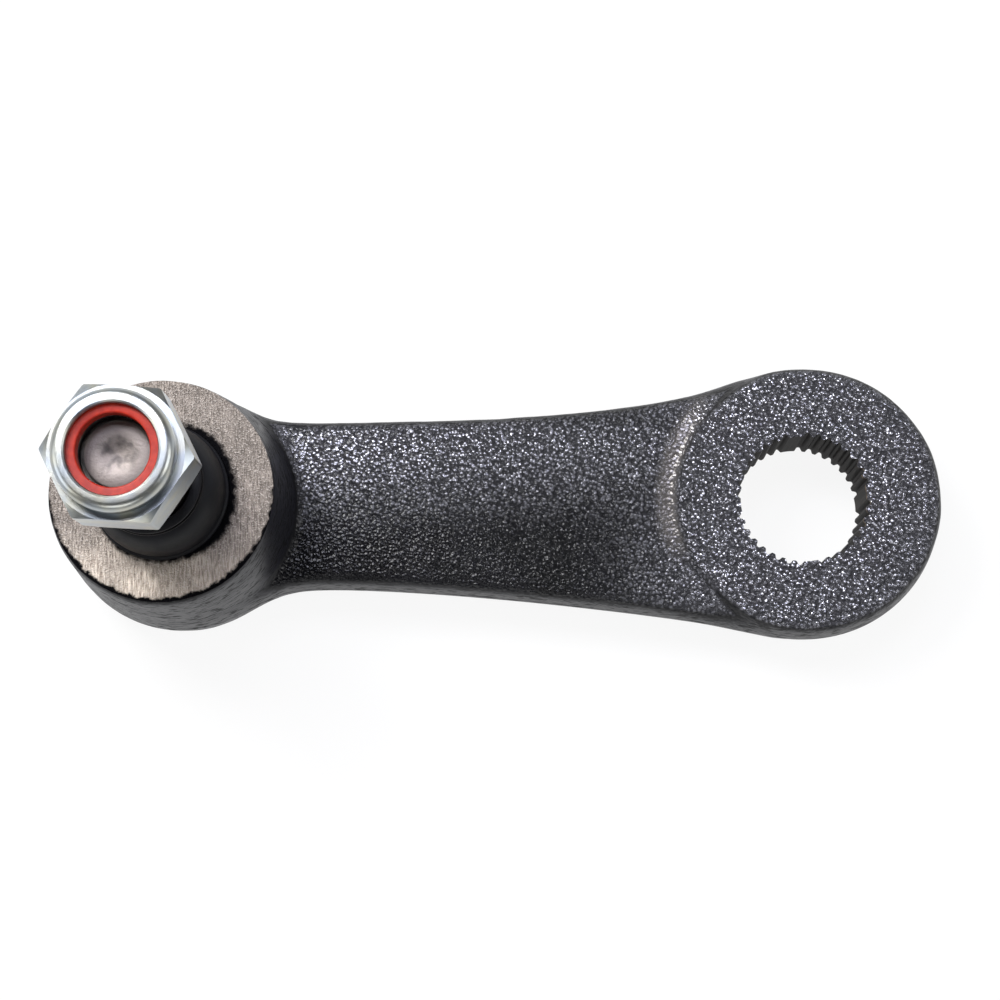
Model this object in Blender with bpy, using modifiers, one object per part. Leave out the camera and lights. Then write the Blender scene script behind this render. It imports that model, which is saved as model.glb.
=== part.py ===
"""A steering drop arm (pitman arm).

A splined eye, a web and a ball-joint housing are forged in one. The housing holds a ball stud between
two seats, preloaded by a disc spring under a staked cover. A rubber boot stands on the machined face, and
a locking nut with a nylon insert sits on the stud's thread.

The arm lies on its back. X runs from the ball joint to the eye and Z points up, along the stud. The
origin is the middle of the part's footprint. Units are metres.
"""

import math

import bmesh
import bpy
from mathutils import Matrix

MM = 0.001

# The forging
ARM_CENTRES = 149.0 * MM  # from the stud's axis to the bore's
DRAFT = math.radians(6.0)  # of the web and the eye, both ways from the parting line
BOSS_DRAFT = math.radians(5.0)
EYE_THICKNESS = 23.0 * MM
EYE_RADIUS = 32.6 * MM  # at the parting line
EYE_OVERHANG = 1.3 * MM  # the outline's centre lies this far past the bore's
EYE_SHOULDER = 4.5 * MM  # height of the rounding under each face
EYE_CORNER_SETBACK = 0.7 * MM
WEB_THICKNESS = 18.6 * MM
WEB_CROWN = 0.9 * MM
WEB_HALF_LEFT = 21.4 * MM  # half width on the +Y side, at the housing
WEB_HALF_RIGHT = 19.4 * MM  # half width on the -Y side
WEB_SWEEP_LEFT = 4.0  # how late the edge swings out to the eye: 1 is a straight line
WEB_SWEEP_RIGHT = 1.6
WEB_END_FLARE = 1.7 * MM  # how far outside the eye's own corners the edges aim
WEB_EDGE_SHARPNESS = 0.33  # semi-sharp crease of the web's long edges
WEB_FILLET = 6.2 * MM  # height of the cove between the web and the housing
WEB_ROWS = (0.07, 0.30, 0.56, 0.80, 0.93)  # where its rows of corners lie, as shares of its length
BOSS_FACE_RADIUS = 26.1 * MM
BOSS_STOCK = 2.0 * MM  # left above the face for machining, at its middle
BOSS_TOP_SLOPE = 0.044  # rise of the forged top towards +Y, which leaves more black skin on the -Y side
BOSS_TOP_SUPPORT = 5.0 * MM  # inner ring that keeps the forged top flat
BOSS_EDGE_DROP = 3.0 * MM  # where the wall starts to round over, below the face
BOSS_OPEN = math.radians(45.0)  # half angle over which the housing joins the web
EYE_OPEN = math.radians(62.0)  # half angle over which the eye joins the web
UNDERSIDE_SUPPORT = 5.0 * MM  # inner ring that keeps an end's face flat

# The splined bore
SPLINE_MAJOR_RADIUS = 15.875 * MM
SPLINE_DEPTH = 0.95 * MM
SPLINE_PITCHES = 36
SPLINE_BLINDS = 4  # wide ribs that index the arm on its shaft
SPLINE_CLOCKING = math.radians(5.4)  # angle of the first blind from +X
SPLINE_ROOT_SHARE = 0.26  # share of a pitch that is flat at the root
SPLINE_TIP_SHARE = 0.32

# The ball stud
BALL_RADIUS = 15.0 * MM
BALL_DEPTH = 16.0 * MM  # ball centre below the machined face
BALL_FOOT_RADIUS = 5.5 * MM
STUD_TILT = math.radians(15.0)  # swing to each side
NECK_RADIUS = 6.75 * MM
NECK_LENGTH = 4.0 * MM  # straight neck above the machined face
TAPER_SEAT_HEIGHT = 13.0 * MM  # big end of the taper above the machined face
TAPER_RADIUS = 9.45 * MM
TAPER_LENGTH = 23.4 * MM
TAPER_RATE = 1.0 / 8.0  # on the diameter
THREAD_RADIUS = 7.94 * MM
THREAD_LENGTH = 19.9 * MM
THREAD_CHAMFER = 0.95 * MM
TAPER_CHAMFER = 0.5 * MM
NECK_FLARE = 2.5 * MM  # height over which the neck widens towards the taper
NECK_FLARE_RISE = 0.6 * MM
CENTRE_MARK_RADIUS = 4.2 * MM
CENTRE_MARK_DEPTH = 0.7 * MM

# The socket's inner pieces
SEAT_CLEARANCE = 0.3 * MM  # between surfaces that touch on the real part
SEAT_WALL = 1.9 * MM
LOWER_SEAT_HEIGHT = 17.5 * MM  # from its underside to the ball's centre
MOUTH_CLEARANCE = 0.8 * MM
SPRING_THICKNESS = 1.6 * MM
SPRING_HEIGHT = 4.1 * MM
SPRING_HOLE_RADIUS = 7.0 * MM
COVER_THICKNESS = 3.5 * MM
COVER_OVERLAP = 2.2 * MM  # how far the cover's edge reaches past the cavity's wall
STAKE_OVERLAP = 1.6 * MM
STAKE_HEIGHT = 3.5 * MM
STAKE_EDGE = 0.6 * MM  # straight stretch over the staked edge's bevel
COVER_DISH = 0.8 * MM
COVER_DISH_RADIUS = 10.8 * MM
SEAT_SPLIT = math.radians(3.4)  # angle at the ball's equator by which the two seats stay apart

# The boot
BOOT_LIP_RADIUS = 15.7 * MM
BOOT_LIP_HEIGHT = 1.0 * MM
BOOT_WALL = 1.6 * MM
BOOT_FOOT_RADIUS = 15.0 * MM
BOOT_SIDE_HEIGHT = 4.0 * MM  # where the side turns into the dome
BOOT_SIDE_RADIUS = 15.1 * MM
BOOT_DOME_RISE = 11.0 * MM
BOOT_DOME_TURN = math.radians(86.0)  # how far the dome curls over towards the neck
BOOT_NECK_WALL = 1.3 * MM
BOOT_NECK_HEIGHT = 4.6 * MM
BOOT_BEAD_HEIGHT = 1.2 * MM  # of the thick rim at the neck's top
BOOT_BEAD_BEVEL = 0.4 * MM
BOOT_LIP_BEVEL = 0.3 * MM
BASE_RING_WALL = 0.8 * MM
BASE_RING_HEIGHT = 2.5 * MM
COUNTERBORE_DEPTH = 2.0 * MM
NECK_RING_WIRE = 0.9 * MM

# The nut
NUT_FLATS = 28.0 * MM
NUT_CLOCKING = math.radians(-4.0)  # angle of a corner from +X
STUD_END_DROP = 2.1 * MM  # the stud's end below the insert's seat, as the nut came loosely screwed on
HEX_HEIGHT = 13.4 * MM
HEX_CHAMFER_RADIUS = 14.3 * MM
HEX_CHAMFER_SLOPE = math.radians(30.0)
COLLAR_RADIUS = 12.85 * MM
COLLAR_HEIGHT = 5.3 * MM
COLLAR_WALL = 1.6 * MM
COLLAR_ROUND = 1.5 * MM
RIM_RADIUS = 9.55 * MM  # opening of the rolled rim
RIM_THICKNESS = 1.3 * MM
RIM_ROUND = 0.6 * MM
NUT_MOUTH_CHAMFER = 0.8 * MM
INSERT_BORE_RADIUS = 7.65 * MM
INSERT_CHAMFER = 0.4 * MM
INSERT_DROP = 0.35 * MM  # the insert's top below the rim's underside

ROUND_SIDES = 12  # sides of the coarse cage of each round end
WEB_STEPS = 3  # how many of them face the web
TURNED_SIDES = 32
INNER_SIDES = 24  # of the pieces closed inside the housing

# Places that follow from the sizes above
PARTING_HEIGHT = EYE_THICKNESS / 2
COVER_BOTTOM = STAKE_HEIGHT + SEAT_CLEARANCE
COVER_TOP = COVER_BOTTOM + COVER_THICKNESS
LOWER_SEAT_BOTTOM = COVER_TOP + SPRING_HEIGHT + 2 * SEAT_CLEARANCE
BALL_Z = LOWER_SEAT_BOTTOM + LOWER_SEAT_HEIGHT
FACE_Z = BALL_Z + BALL_DEPTH
BOSS_RADIUS = BOSS_FACE_RADIUS + (FACE_Z - PARTING_HEIGHT) * math.tan(BOSS_DRAFT)
FOOTPRINT_SHIFT = (ARM_CENTRES + EYE_OVERHANG + EYE_RADIUS - BOSS_RADIUS) / 2
STUD_X = -FOOTPRINT_SHIFT
BORE_X = STUD_X + ARM_CENTRES
WEB_TOP = PARTING_HEIGHT + WEB_THICKNESS / 2
WEB_BOTTOM = PARTING_HEIGHT - WEB_THICKNESS / 2
BALL_SEAT_RADIUS = BALL_RADIUS + SEAT_CLEARANCE
SEAT_RADIUS = BALL_SEAT_RADIUS + SEAT_WALL
CAVITY_RADIUS = SEAT_RADIUS + SEAT_CLEARANCE
RECESS_RADIUS = CAVITY_RADIUS + COVER_OVERLAP + SEAT_CLEARANCE
COVER_RADIUS = CAVITY_RADIUS + COVER_OVERLAP
TAPER_Z = FACE_Z + TAPER_SEAT_HEIGHT
TAPER_END_Z = TAPER_Z + TAPER_LENGTH
TAPER_END_RADIUS = TAPER_RADIUS - TAPER_LENGTH * TAPER_RATE / 2
STUD_END_Z = TAPER_END_Z + THREAD_LENGTH
COUNTERBORE_Z = FACE_Z - COUNTERBORE_DEPTH
COUNTERBORE_RADIUS = BOOT_FOOT_RADIUS + SEAT_CLEARANCE
COLLAR_Z = STUD_END_Z + STUD_END_DROP
NUT_Z = COLLAR_Z - HEX_HEIGHT
NUT_TOP = COLLAR_Z + COLLAR_HEIGHT


def mouth_radius(rise):
    """How wide the socket's mouth is at this height above the ball's centre, so that the neck can swing."""
    return NECK_RADIUS / math.cos(STUD_TILT) + rise * math.tan(STUD_TILT) + MOUTH_CLEARANCE


def mouth_angle(radius):
    """Angle from the vertical at which a dome of this radius about the ball's centre meets the mouth."""
    rise = radius
    for _ in range(30):
        rise = math.sqrt(radius**2 - mouth_radius(rise) ** 2)
    return math.atan2(mouth_radius(rise), rise)


def clear_scene():
    for obj in list(bpy.data.objects):
        bpy.data.objects.remove(obj, do_unlink=True)


def collection_named(name, hidden=False):
    collection = bpy.data.collections.new(name)
    bpy.context.scene.collection.children.link(collection)
    collection.hide_render = hidden
    return collection


def material(name, colour, roughness, metallic):
    """A plain finish: its colour, how rough it is and whether it is bare metal."""
    made = bpy.data.materials.new(name)
    made.use_nodes = True
    shader = made.node_tree.nodes["Principled BSDF"]
    shader.inputs["Base Color"].default_value = (*colour, 1.0)
    shader.inputs["Roughness"].default_value = roughness
    shader.inputs["Metallic"].default_value = metallic
    return made


def add_object(name, mesh, collection, finish=None, parent=None):
    obj = bpy.data.objects.new(name, mesh)
    collection.objects.link(obj)
    if finish is not None:
        mesh.materials.append(finish)
    if parent is not None:
        obj.parent = parent
    return obj


def as_cutter(obj):
    obj.hide_render = True
    obj.display_type = "WIRE"
    return obj


def boolean(obj, operation, other):
    modifier = obj.modifiers.new(f"{operation.lower()}_{other.name}", "BOOLEAN")
    modifier.operation = operation
    modifier.solver = "EXACT"
    modifier.object = other
    return modifier


def turned(name, outline, collection, x=0.0, finish=None, parent=None, sides=TURNED_SIDES):
    """A turned piece: an outline of (radius, height) points, spun about the vertical axis.

    The outline runs down the outer side. It is closed round a ring, and open where both its ends lie on
    the axis.
    """
    on_axis = outline[0][0] == 0 and outline[-1][0] == 0
    count = len(outline)
    edges = [(i, i + 1) for i in range(count - 1)]
    if not on_axis:
        edges.append((count - 1, 0))
    mesh = bpy.data.meshes.new(name)
    mesh.from_pydata([(r, 0.0, z) for r, z in outline], edges, [])
    obj = add_object(name, mesh, collection, finish, parent)
    obj.location.x = x
    screw = obj.modifiers.new("turn", "SCREW")
    screw.axis = "Z"
    screw.angle = 2 * math.pi
    screw.steps = sides
    screw.render_steps = sides
    screw.use_merge_vertices = True
    screw.merge_threshold = 0.00001
    return obj


def arc(radius, start, end, steps, centre_z=0.0):
    """Points of a ball's outline. Angles are from the vertical axis, down the outer side."""
    angles = [start + (end - start) * i / steps for i in range(steps + 1)]
    return [(radius * math.sin(a), centre_z + radius * math.cos(a)) for a in angles]


# The forging's cage

def ring_angles(half_open):
    """Angles of a cage ring's corners from the way to the other end of the arm.

    Equal steps face the web, within half_open to each side, and the rest share the back.
    """
    behind = ROUND_SIDES - WEB_STEPS
    front = [half_open * (2 * i / WEB_STEPS - 1) for i in range(WEB_STEPS + 1)]
    back_step = (2 * math.pi - 2 * half_open) / behind
    back = [half_open + back_step * i for i in range(1, behind)]
    return front + back


def cage_scale(step):
    """How far a subdivided ring with this step between corners shrinks from its cage."""
    return (2 + math.cos(step)) / 3


def ring_points(centre_x, toward, half_open, radius, height):
    """Corners of one ring of a round end.

    radius is that of the finished surface, and height(faces_web) gives a corner's Z.
    """
    angles = ring_angles(half_open)
    steps = [(angles[(i + 1) % ROUND_SIDES] - angles[i]) % (2 * math.pi) for i in range(ROUND_SIDES)]
    points = []
    for i, angle in enumerate(angles):
        reach = radius / (cage_scale(steps[i - 1]) + cage_scale(steps[i])) * 2
        x = centre_x + toward * reach * math.cos(angle)
        points.append((x, toward * reach * math.sin(angle), height(i <= WEB_STEPS)))
    return points


def round_end(bm, rings):
    """A round end of the cage: a cone's lowest band, then its top face drawn up from ring to ring."""
    first, second = rings[:2]
    made = bmesh.ops.create_cone(
        bm, cap_ends=True, segments=ROUND_SIDES, radius1=1.0, radius2=1.0, depth=1.0
    )
    verts = sorted(made["verts"], key=lambda v: (v.co.z, math.atan2(v.co.y, v.co.x)))
    lower, upper = verts[:ROUND_SIDES], verts[ROUND_SIDES:]
    place_ring(lower, first)
    place_ring(upper, second)
    cap = next(f for f in upper[0].link_faces if len(f.verts) == ROUND_SIDES)
    for points in rings[2:]:
        above = {}
        made = bmesh.ops.extrude_discrete_faces(bm, faces=[cap])
        cap = made["faces"][0]
        for vert in cap.verts:
            source = min(upper, key=lambda v: (v.co - vert.co).length)
            above[source] = vert
        upper = [above[v] for v in upper]
        place_ring(upper, points)


def place_ring(verts, points):
    """Puts a ring's corners, sorted by angle, on the points, which are sorted the same way."""
    centre_x = sum(p[0] for p in points) / len(points)
    ordered = sorted(points, key=lambda p: math.atan2(p[1], p[0] - centre_x))
    for vert, point in zip(verts, ordered):
        vert.co = point


def drafted(radius_at_parting, z, draft):
    return radius_at_parting - abs(z - PARTING_HEIGHT) * math.tan(draft)


def boss_rings():
    def ring(z, inset=0.0):
        radius = drafted(BOSS_RADIUS, z, BOSS_DRAFT) - inset
        return ring_points(STUD_X, 1, BOSS_OPEN, radius, lambda faces_web: z)

    def sloped(points):
        return [(x, y, z + y * BOSS_TOP_SLOPE) for x, y, z in points]

    return [
        ring(0.0, UNDERSIDE_SUPPORT),
        ring(0.0),
        ring(WEB_BOTTOM),
        ring(PARTING_HEIGHT),
        ring(WEB_TOP),
        ring(WEB_TOP + WEB_FILLET),
        ring(FACE_Z - BOSS_EDGE_DROP),
        sloped(ring(FACE_Z + BOSS_STOCK)),
        sloped(ring(FACE_Z + BOSS_STOCK, BOSS_TOP_SUPPORT)),
    ]


def eye_rings():
    centre = BORE_X + EYE_OVERHANG

    def ring(radius, open_z, web_z):
        return ring_points(centre, -1, EYE_OPEN, radius, lambda faces_web: web_z if faces_web else open_z)

    shoulder_z = EYE_THICKNESS - EYE_SHOULDER
    shoulder_radius = drafted(EYE_RADIUS, shoulder_z, DRAFT)
    corner_radius = shoulder_radius - EYE_CORNER_SETBACK
    support_radius = corner_radius - UNDERSIDE_SUPPORT
    return [
        ring(support_radius, 0.0, 0.0),
        ring(corner_radius, 0.0, 0.0),
        ring(shoulder_radius, EYE_SHOULDER, WEB_BOTTOM),
        ring(EYE_RADIUS, PARTING_HEIGHT, PARTING_HEIGHT),
        ring(shoulder_radius, shoulder_z, WEB_TOP),
        ring(corner_radius, EYE_THICKNESS, EYE_THICKNESS),
        ring(support_radius, EYE_THICKNESS, EYE_THICKNESS),
    ]


def web_edge(x, side):
    """Y of the web's edge at the parting line: nearly straight from the housing, then out to the eye."""
    start = STUD_X + BOSS_RADIUS
    end = BORE_X + EYE_OVERHANG - EYE_RADIUS * math.cos(EYE_OPEN)
    share = min(max((x - start) / (end - start), 0.0), 1.0)
    half = WEB_HALF_LEFT if side > 0 else WEB_HALF_RIGHT
    sweep = WEB_SWEEP_LEFT if side > 0 else WEB_SWEEP_RIGHT
    aim = EYE_RADIUS * math.sin(EYE_OPEN) + WEB_END_FLARE
    return math.copysign(half + (aim - half) * share**sweep, side)


def open_for_web(bm):
    """Deletes the faces of both ends that the web joins, and returns the edges round each hole."""
    gone = []
    for face in bm.faces:
        middle = face.calc_center_median()
        between = WEB_BOTTOM < middle.z < WEB_TOP
        at_boss = middle.x > STUD_X + BOSS_RADIUS * math.cos(BOSS_OPEN) and middle.x < 0
        at_eye = 0 < middle.x < BORE_X + EYE_OVERHANG - EYE_RADIUS * math.cos(EYE_OPEN)
        if between and (at_boss or at_eye) and len(face.verts) == 4:
            gone.append(face)
    bmesh.ops.delete(bm, geom=gone, context="FACES")
    holes = [edge for edge in bm.edges if edge.is_boundary]
    at_boss = [edge for edge in holes if edge.verts[0].co.x < 0]
    return at_boss, [edge for edge in holes if edge not in at_boss]


def web_rows(bm, boss_hole, eye_hole):
    """Draws the web out of the boss's hole, row by row, and joins its last row to the eye's."""
    starts = {v for edge in boss_hole for v in edge.verts}
    ends = {v for edge in eye_hole for v in edge.verts}
    row = {v: (v, min(ends, key=lambda e: section_distance(v, e))) for v in starts}
    edges = boss_hole
    for share in WEB_ROWS:
        made = bmesh.ops.extrude_edge_only(bm, edges=edges)["geom"]
        verts = [g for g in made if isinstance(g, bmesh.types.BMVert)]
        drawn = [g for g in made if isinstance(g, bmesh.types.BMEdge)]
        edges = [edge for edge in drawn if set(edge.verts) <= set(verts)]
        next_row = {}
        for vert in verts:
            source = min(row, key=lambda v: (v.co - vert.co).length)
            next_row[vert] = row[source]
        for vert, (start, end) in next_row.items():
            vert.co = web_point(start, end, share)
        row = next_row
    bmesh.ops.bridge_loops(bm, edges=edges + eye_hole)
    return [edge for edge in bm.edges if is_long_edge(edge)]


def is_long_edge(edge):
    """Whether this is a piece of one of the web's four long edges."""
    a, b = (v.co for v in edge.verts)
    along = abs(a.x - b.x) > abs(a.y - b.y)
    on_web = min(a.x, b.x) > STUD_X + BOSS_RADIUS / 2 and max(a.x, b.x) < BORE_X - EYE_RADIUS / 2
    at_side = min(abs(a.y), abs(b.y)) > WEB_HALF_RIGHT * 2 / 3
    off_parting = abs(a.z - PARTING_HEIGHT) > WEB_THICKNESS / 4
    return along and on_web and at_side and off_parting


def section_distance(start, end):
    """Pairs a corner of the boss's hole with the eye's at the same place in the section."""
    height = abs(start.co.z - end.co.z) / WEB_THICKNESS
    at_boss = start.co.y / (BOSS_RADIUS * math.sin(BOSS_OPEN))
    at_eye = end.co.y / (EYE_RADIUS * math.sin(EYE_OPEN))
    return height + abs(at_boss - at_eye)


def web_point(start, end, share):
    """Place of a corner of the web's section, a share of the way from the boss to the eye."""
    x = start.co.x + (end.co.x - start.co.x) * share
    across = start.co.y / (BOSS_RADIUS / cage_scale(2 * math.pi / ROUND_SIDES) * math.sin(BOSS_OPEN))
    edge = abs(web_edge(x, across))
    z = start.co.z
    from_parting = z - PARTING_HEIGHT
    off_parting = abs(from_parting) > WEB_THICKNESS / 4
    if off_parting and abs(across) < 2 / 3:  # the middle corners carry the crown
        z += math.copysign(WEB_CROWN, from_parting)
    half = edge - abs(from_parting) * math.tan(DRAFT)
    return x, across * half, z


def forging(collection, cutters, finish):
    bm = bmesh.new()
    crease = bm.edges.layers.float.new("crease_edge")
    round_end(bm, boss_rings())
    round_end(bm, eye_rings())
    boss_hole, eye_hole = open_for_web(bm)
    long_edges = web_rows(bm, boss_hole, eye_hole)
    for edge in long_edges:
        edge[crease] = WEB_EDGE_SHARPNESS
    bmesh.ops.recalc_face_normals(bm, faces=bm.faces)
    mesh = bpy.data.meshes.new("arm_forging")
    bm.to_mesh(mesh)
    bm.free()
    obj = add_object("arm_forging", mesh, collection, finish)
    smooth = obj.modifiers.new("forged_form", "SUBSURF")
    smooth.levels = 2
    smooth.render_levels = 2
    boolean(obj, "DIFFERENCE", face_cutter(cutters))
    boolean(obj, "DIFFERENCE", socket_cutter(cutters))
    boolean(obj, "DIFFERENCE", spline_cutter(cutters))
    return obj


def face_cutter(cutters):
    """The facing cut that leaves the housing's ground face."""
    depth = 4 * BOSS_STOCK
    bm = bmesh.new()
    bmesh.ops.create_cone(
        bm,
        cap_ends=True,
        segments=TURNED_SIDES,
        radius1=BOSS_RADIUS * 1.5,
        radius2=BOSS_RADIUS * 1.5,
        depth=depth,
        matrix=Matrix.Translation((STUD_X, 0.0, FACE_Z + depth / 2)),
    )
    mesh = bpy.data.meshes.new("face_cutter")
    bm.to_mesh(mesh)
    bm.free()
    return as_cutter(add_object("face_cutter", mesh, cutters))


def socket_cutter(cutters):
    """The socket: boot counterbore, flared mouth, ball cavity, cover recess and staked edge."""
    over = 2.0 * MM
    mouth = mouth_radius(COUNTERBORE_Z - BALL_Z)
    outline = [
        (0.0, FACE_Z + over),
        (COUNTERBORE_RADIUS, FACE_Z + over),
        (COUNTERBORE_RADIUS, COUNTERBORE_Z),
        (mouth, COUNTERBORE_Z),
        *arc(CAVITY_RADIUS, mouth_angle(CAVITY_RADIUS), math.pi / 2, 6, BALL_Z),
        (CAVITY_RADIUS, COVER_TOP + SEAT_CLEARANCE),
        (RECESS_RADIUS, COVER_TOP + SEAT_CLEARANCE),
        (RECESS_RADIUS, STAKE_HEIGHT),
        (RECESS_RADIUS - STAKE_OVERLAP, STAKE_HEIGHT - STAKE_OVERLAP / 2),
        (RECESS_RADIUS - STAKE_OVERLAP, STAKE_EDGE),
        (RECESS_RADIUS - STAKE_OVERLAP + over, -over),
        (0.0, -over),
    ]
    return as_cutter(turned("socket_cutter", outline, cutters, STUD_X))


def spline_cutter(cutters):
    """The broached bore: grooves all round, left out where a blind rib indexes the arm."""
    over = 3.0 * MM
    pitch = 2 * math.pi / SPLINE_PITCHES
    tip_radius = SPLINE_MAJOR_RADIUS - SPLINE_DEPTH
    root = SPLINE_ROOT_SHARE * pitch / 2
    tip = (1 - SPLINE_TIP_SHARE) * pitch / 2
    blind_every = SPLINE_PITCHES // SPLINE_BLINDS
    bm = bmesh.new()
    corners = []
    for i in range(SPLINE_PITCHES):
        depth_radius = tip_radius if i % blind_every == 0 else SPLINE_MAJOR_RADIUS
        groove = ((-tip, tip_radius), (-root, depth_radius), (root, depth_radius), (tip, tip_radius))
        for offset, radius in groove:
            angle = SPLINE_CLOCKING + i * pitch + offset
            place = (BORE_X + radius * math.cos(angle), radius * math.sin(angle), -over)
            corners.append(bm.verts.new(place))
    outline = bm.faces.new(corners)
    drawn = bmesh.ops.extrude_face_region(bm, geom=[outline])
    moved = [g for g in drawn["geom"] if isinstance(g, bmesh.types.BMVert)]
    bmesh.ops.translate(bm, verts=moved, vec=(0.0, 0.0, EYE_THICKNESS + 2 * over))
    bmesh.ops.recalc_face_normals(bm, faces=bm.faces)
    mesh = bpy.data.meshes.new("spline_cutter")
    bm.to_mesh(mesh)
    bm.free()
    return as_cutter(add_object("spline_cutter", mesh, cutters))


# The ball joint's pieces. Each is turned, with heights from the arm's back.

def ball_stud(collection, finish, parent):
    neck_angle = math.asin(NECK_RADIUS / BALL_RADIUS)
    foot_angle = math.pi - math.asin(BALL_FOOT_RADIUS / BALL_RADIUS)
    outline = [
        (0.0, STUD_END_Z - CENTRE_MARK_DEPTH),
        (CENTRE_MARK_RADIUS / 2, STUD_END_Z - CENTRE_MARK_DEPTH * 0.8),
        (CENTRE_MARK_RADIUS, STUD_END_Z),
        (THREAD_RADIUS - THREAD_CHAMFER, STUD_END_Z),
        (THREAD_RADIUS, STUD_END_Z - THREAD_CHAMFER),
        (THREAD_RADIUS, TAPER_END_Z),
        (TAPER_END_RADIUS, TAPER_END_Z),
        (TAPER_RADIUS, TAPER_Z),
        (TAPER_RADIUS - TAPER_CHAMFER, TAPER_Z - 2 * TAPER_CHAMFER),
        (NECK_RADIUS + NECK_FLARE_RISE, FACE_Z + NECK_LENGTH + NECK_FLARE),
        (NECK_RADIUS, FACE_Z + NECK_LENGTH),
        *arc(BALL_RADIUS, neck_angle, foot_angle, 12, BALL_Z),
        (0.0, BALL_Z + BALL_RADIUS * math.cos(foot_angle)),
    ]
    return turned("ball_stud", outline, collection, 0.0, finish, parent)


def upper_bearing(collection, finish):
    inner_edge = mouth_angle(BALL_SEAT_RADIUS)
    outline = [
        *arc(SEAT_RADIUS, inner_edge, math.pi / 2, 5, BALL_Z),
        (BALL_SEAT_RADIUS, BALL_Z),
        *reversed(arc(BALL_SEAT_RADIUS, inner_edge, math.pi / 2, 5, BALL_Z)[:-1]),
    ]
    return turned("upper_bearing", outline, collection, STUD_X, finish, None, INNER_SIDES)


def lower_bearing(collection, finish):
    top = math.pi / 2 + SEAT_SPLIT
    hole = BALL_FOOT_RADIUS
    hole_angle = math.pi - math.asin(hole / BALL_SEAT_RADIUS)
    rim_z = BALL_Z + BALL_SEAT_RADIUS * math.cos(top)
    outline = [
        (SEAT_RADIUS, rim_z),
        (SEAT_RADIUS, LOWER_SEAT_BOTTOM),
        (hole, LOWER_SEAT_BOTTOM),
        *reversed(arc(BALL_SEAT_RADIUS, top, hole_angle, 8, BALL_Z)),
    ]
    return turned("lower_bearing", outline, collection, STUD_X, finish, None, INNER_SIDES)


def preload_spring(collection, finish):
    """A disc spring: its rim bears on the lower seat and its inner edge on the cover."""
    low = COVER_TOP + SEAT_CLEARANCE
    high = low + SPRING_HEIGHT
    rim = SEAT_RADIUS - SPRING_THICKNESS / 2
    outline = [
        (rim, high),
        (rim, high - SPRING_THICKNESS),
        (SPRING_HOLE_RADIUS, low),
        (SPRING_HOLE_RADIUS, low + SPRING_THICKNESS),
    ]
    return turned("preload_spring", outline, collection, STUD_X, finish, None, INNER_SIDES)


def end_cover(collection, finish):
    """The pressed plate, dished outward in its middle."""
    outline = [
        (0.0, COVER_TOP - COVER_DISH),
        (COVER_DISH_RADIUS, COVER_TOP - COVER_DISH),
        (COVER_DISH_RADIUS + COVER_DISH, COVER_TOP),
        (COVER_RADIUS, COVER_TOP),
        (COVER_RADIUS, COVER_BOTTOM),
        (COVER_DISH_RADIUS + COVER_DISH, COVER_BOTTOM),
        (COVER_DISH_RADIUS, COVER_BOTTOM - COVER_DISH),
        (0.0, COVER_BOTTOM - COVER_DISH),
    ]
    return turned("end_cover", outline, collection, STUD_X, finish)


def base_ring_inner():
    return BOOT_FOOT_RADIUS - BOOT_WALL - SEAT_CLEARANCE - BASE_RING_WALL


def boot_base_ring(collection, finish, parent):
    inner = base_ring_inner()
    outer = inner + BASE_RING_WALL
    bottom = COUNTERBORE_Z + SEAT_CLEARANCE
    top = bottom + BASE_RING_HEIGHT
    outline = [(outer, top), (outer, bottom), (inner, bottom), (inner, top)]
    return turned("boot_base_ring", outline, collection, 0.0, finish, parent)


def dust_boot(collection, finish, parent):
    """The boot: a foot pressed into the counterbore, a lip on the face, a dome and a tight neck."""
    lip_bottom = FACE_Z + SEAT_CLEARANCE
    lip_top = lip_bottom + BOOT_LIP_HEIGHT
    side_z = FACE_Z + BOOT_SIDE_HEIGHT
    neck_inner = TAPER_RADIUS + SEAT_CLEARANCE
    neck_outer = neck_inner + BOOT_NECK_WALL
    neck_z = side_z + BOOT_DOME_RISE
    neck_top = neck_z + BOOT_NECK_HEIGHT
    bead = neck_outer + NECK_RING_WIRE
    foot_bottom = COUNTERBORE_Z + SEAT_CLEARANCE
    round_outer = BOOT_SIDE_RADIUS - neck_outer
    steps = 6
    outer_dome = []
    inner_dome = []
    for i in range(steps + 1):
        turn = BOOT_DOME_TURN * (1 - i / steps)
        reach = neck_outer + round_outer * math.cos(turn)
        outer_dome.append((reach, side_z + BOOT_DOME_RISE * math.sin(turn)))
        inner = max(neck_inner, reach - BOOT_WALL)
        inner_dome.append((inner, side_z + (BOOT_DOME_RISE - BOOT_WALL) * math.sin(turn)))
    outline = [
        (bead, neck_top),
        (bead, neck_top - BOOT_BEAD_HEIGHT),
        (neck_outer, neck_top - BOOT_BEAD_HEIGHT - BOOT_BEAD_BEVEL),
        *outer_dome,
        (BOOT_SIDE_RADIUS, lip_top),
        (BOOT_LIP_RADIUS, lip_top - BOOT_LIP_BEVEL),
        (BOOT_LIP_RADIUS, lip_bottom),
        (BOOT_FOOT_RADIUS, lip_bottom),
        (BOOT_FOOT_RADIUS, foot_bottom),
        (BOOT_FOOT_RADIUS - BOOT_WALL, foot_bottom),
        (BOOT_FOOT_RADIUS - BOOT_WALL, lip_top),
        *reversed(inner_dome),
        (neck_inner, neck_top),
    ]
    return turned("dust_boot", outline, collection, 0.0, finish, parent)


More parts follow.
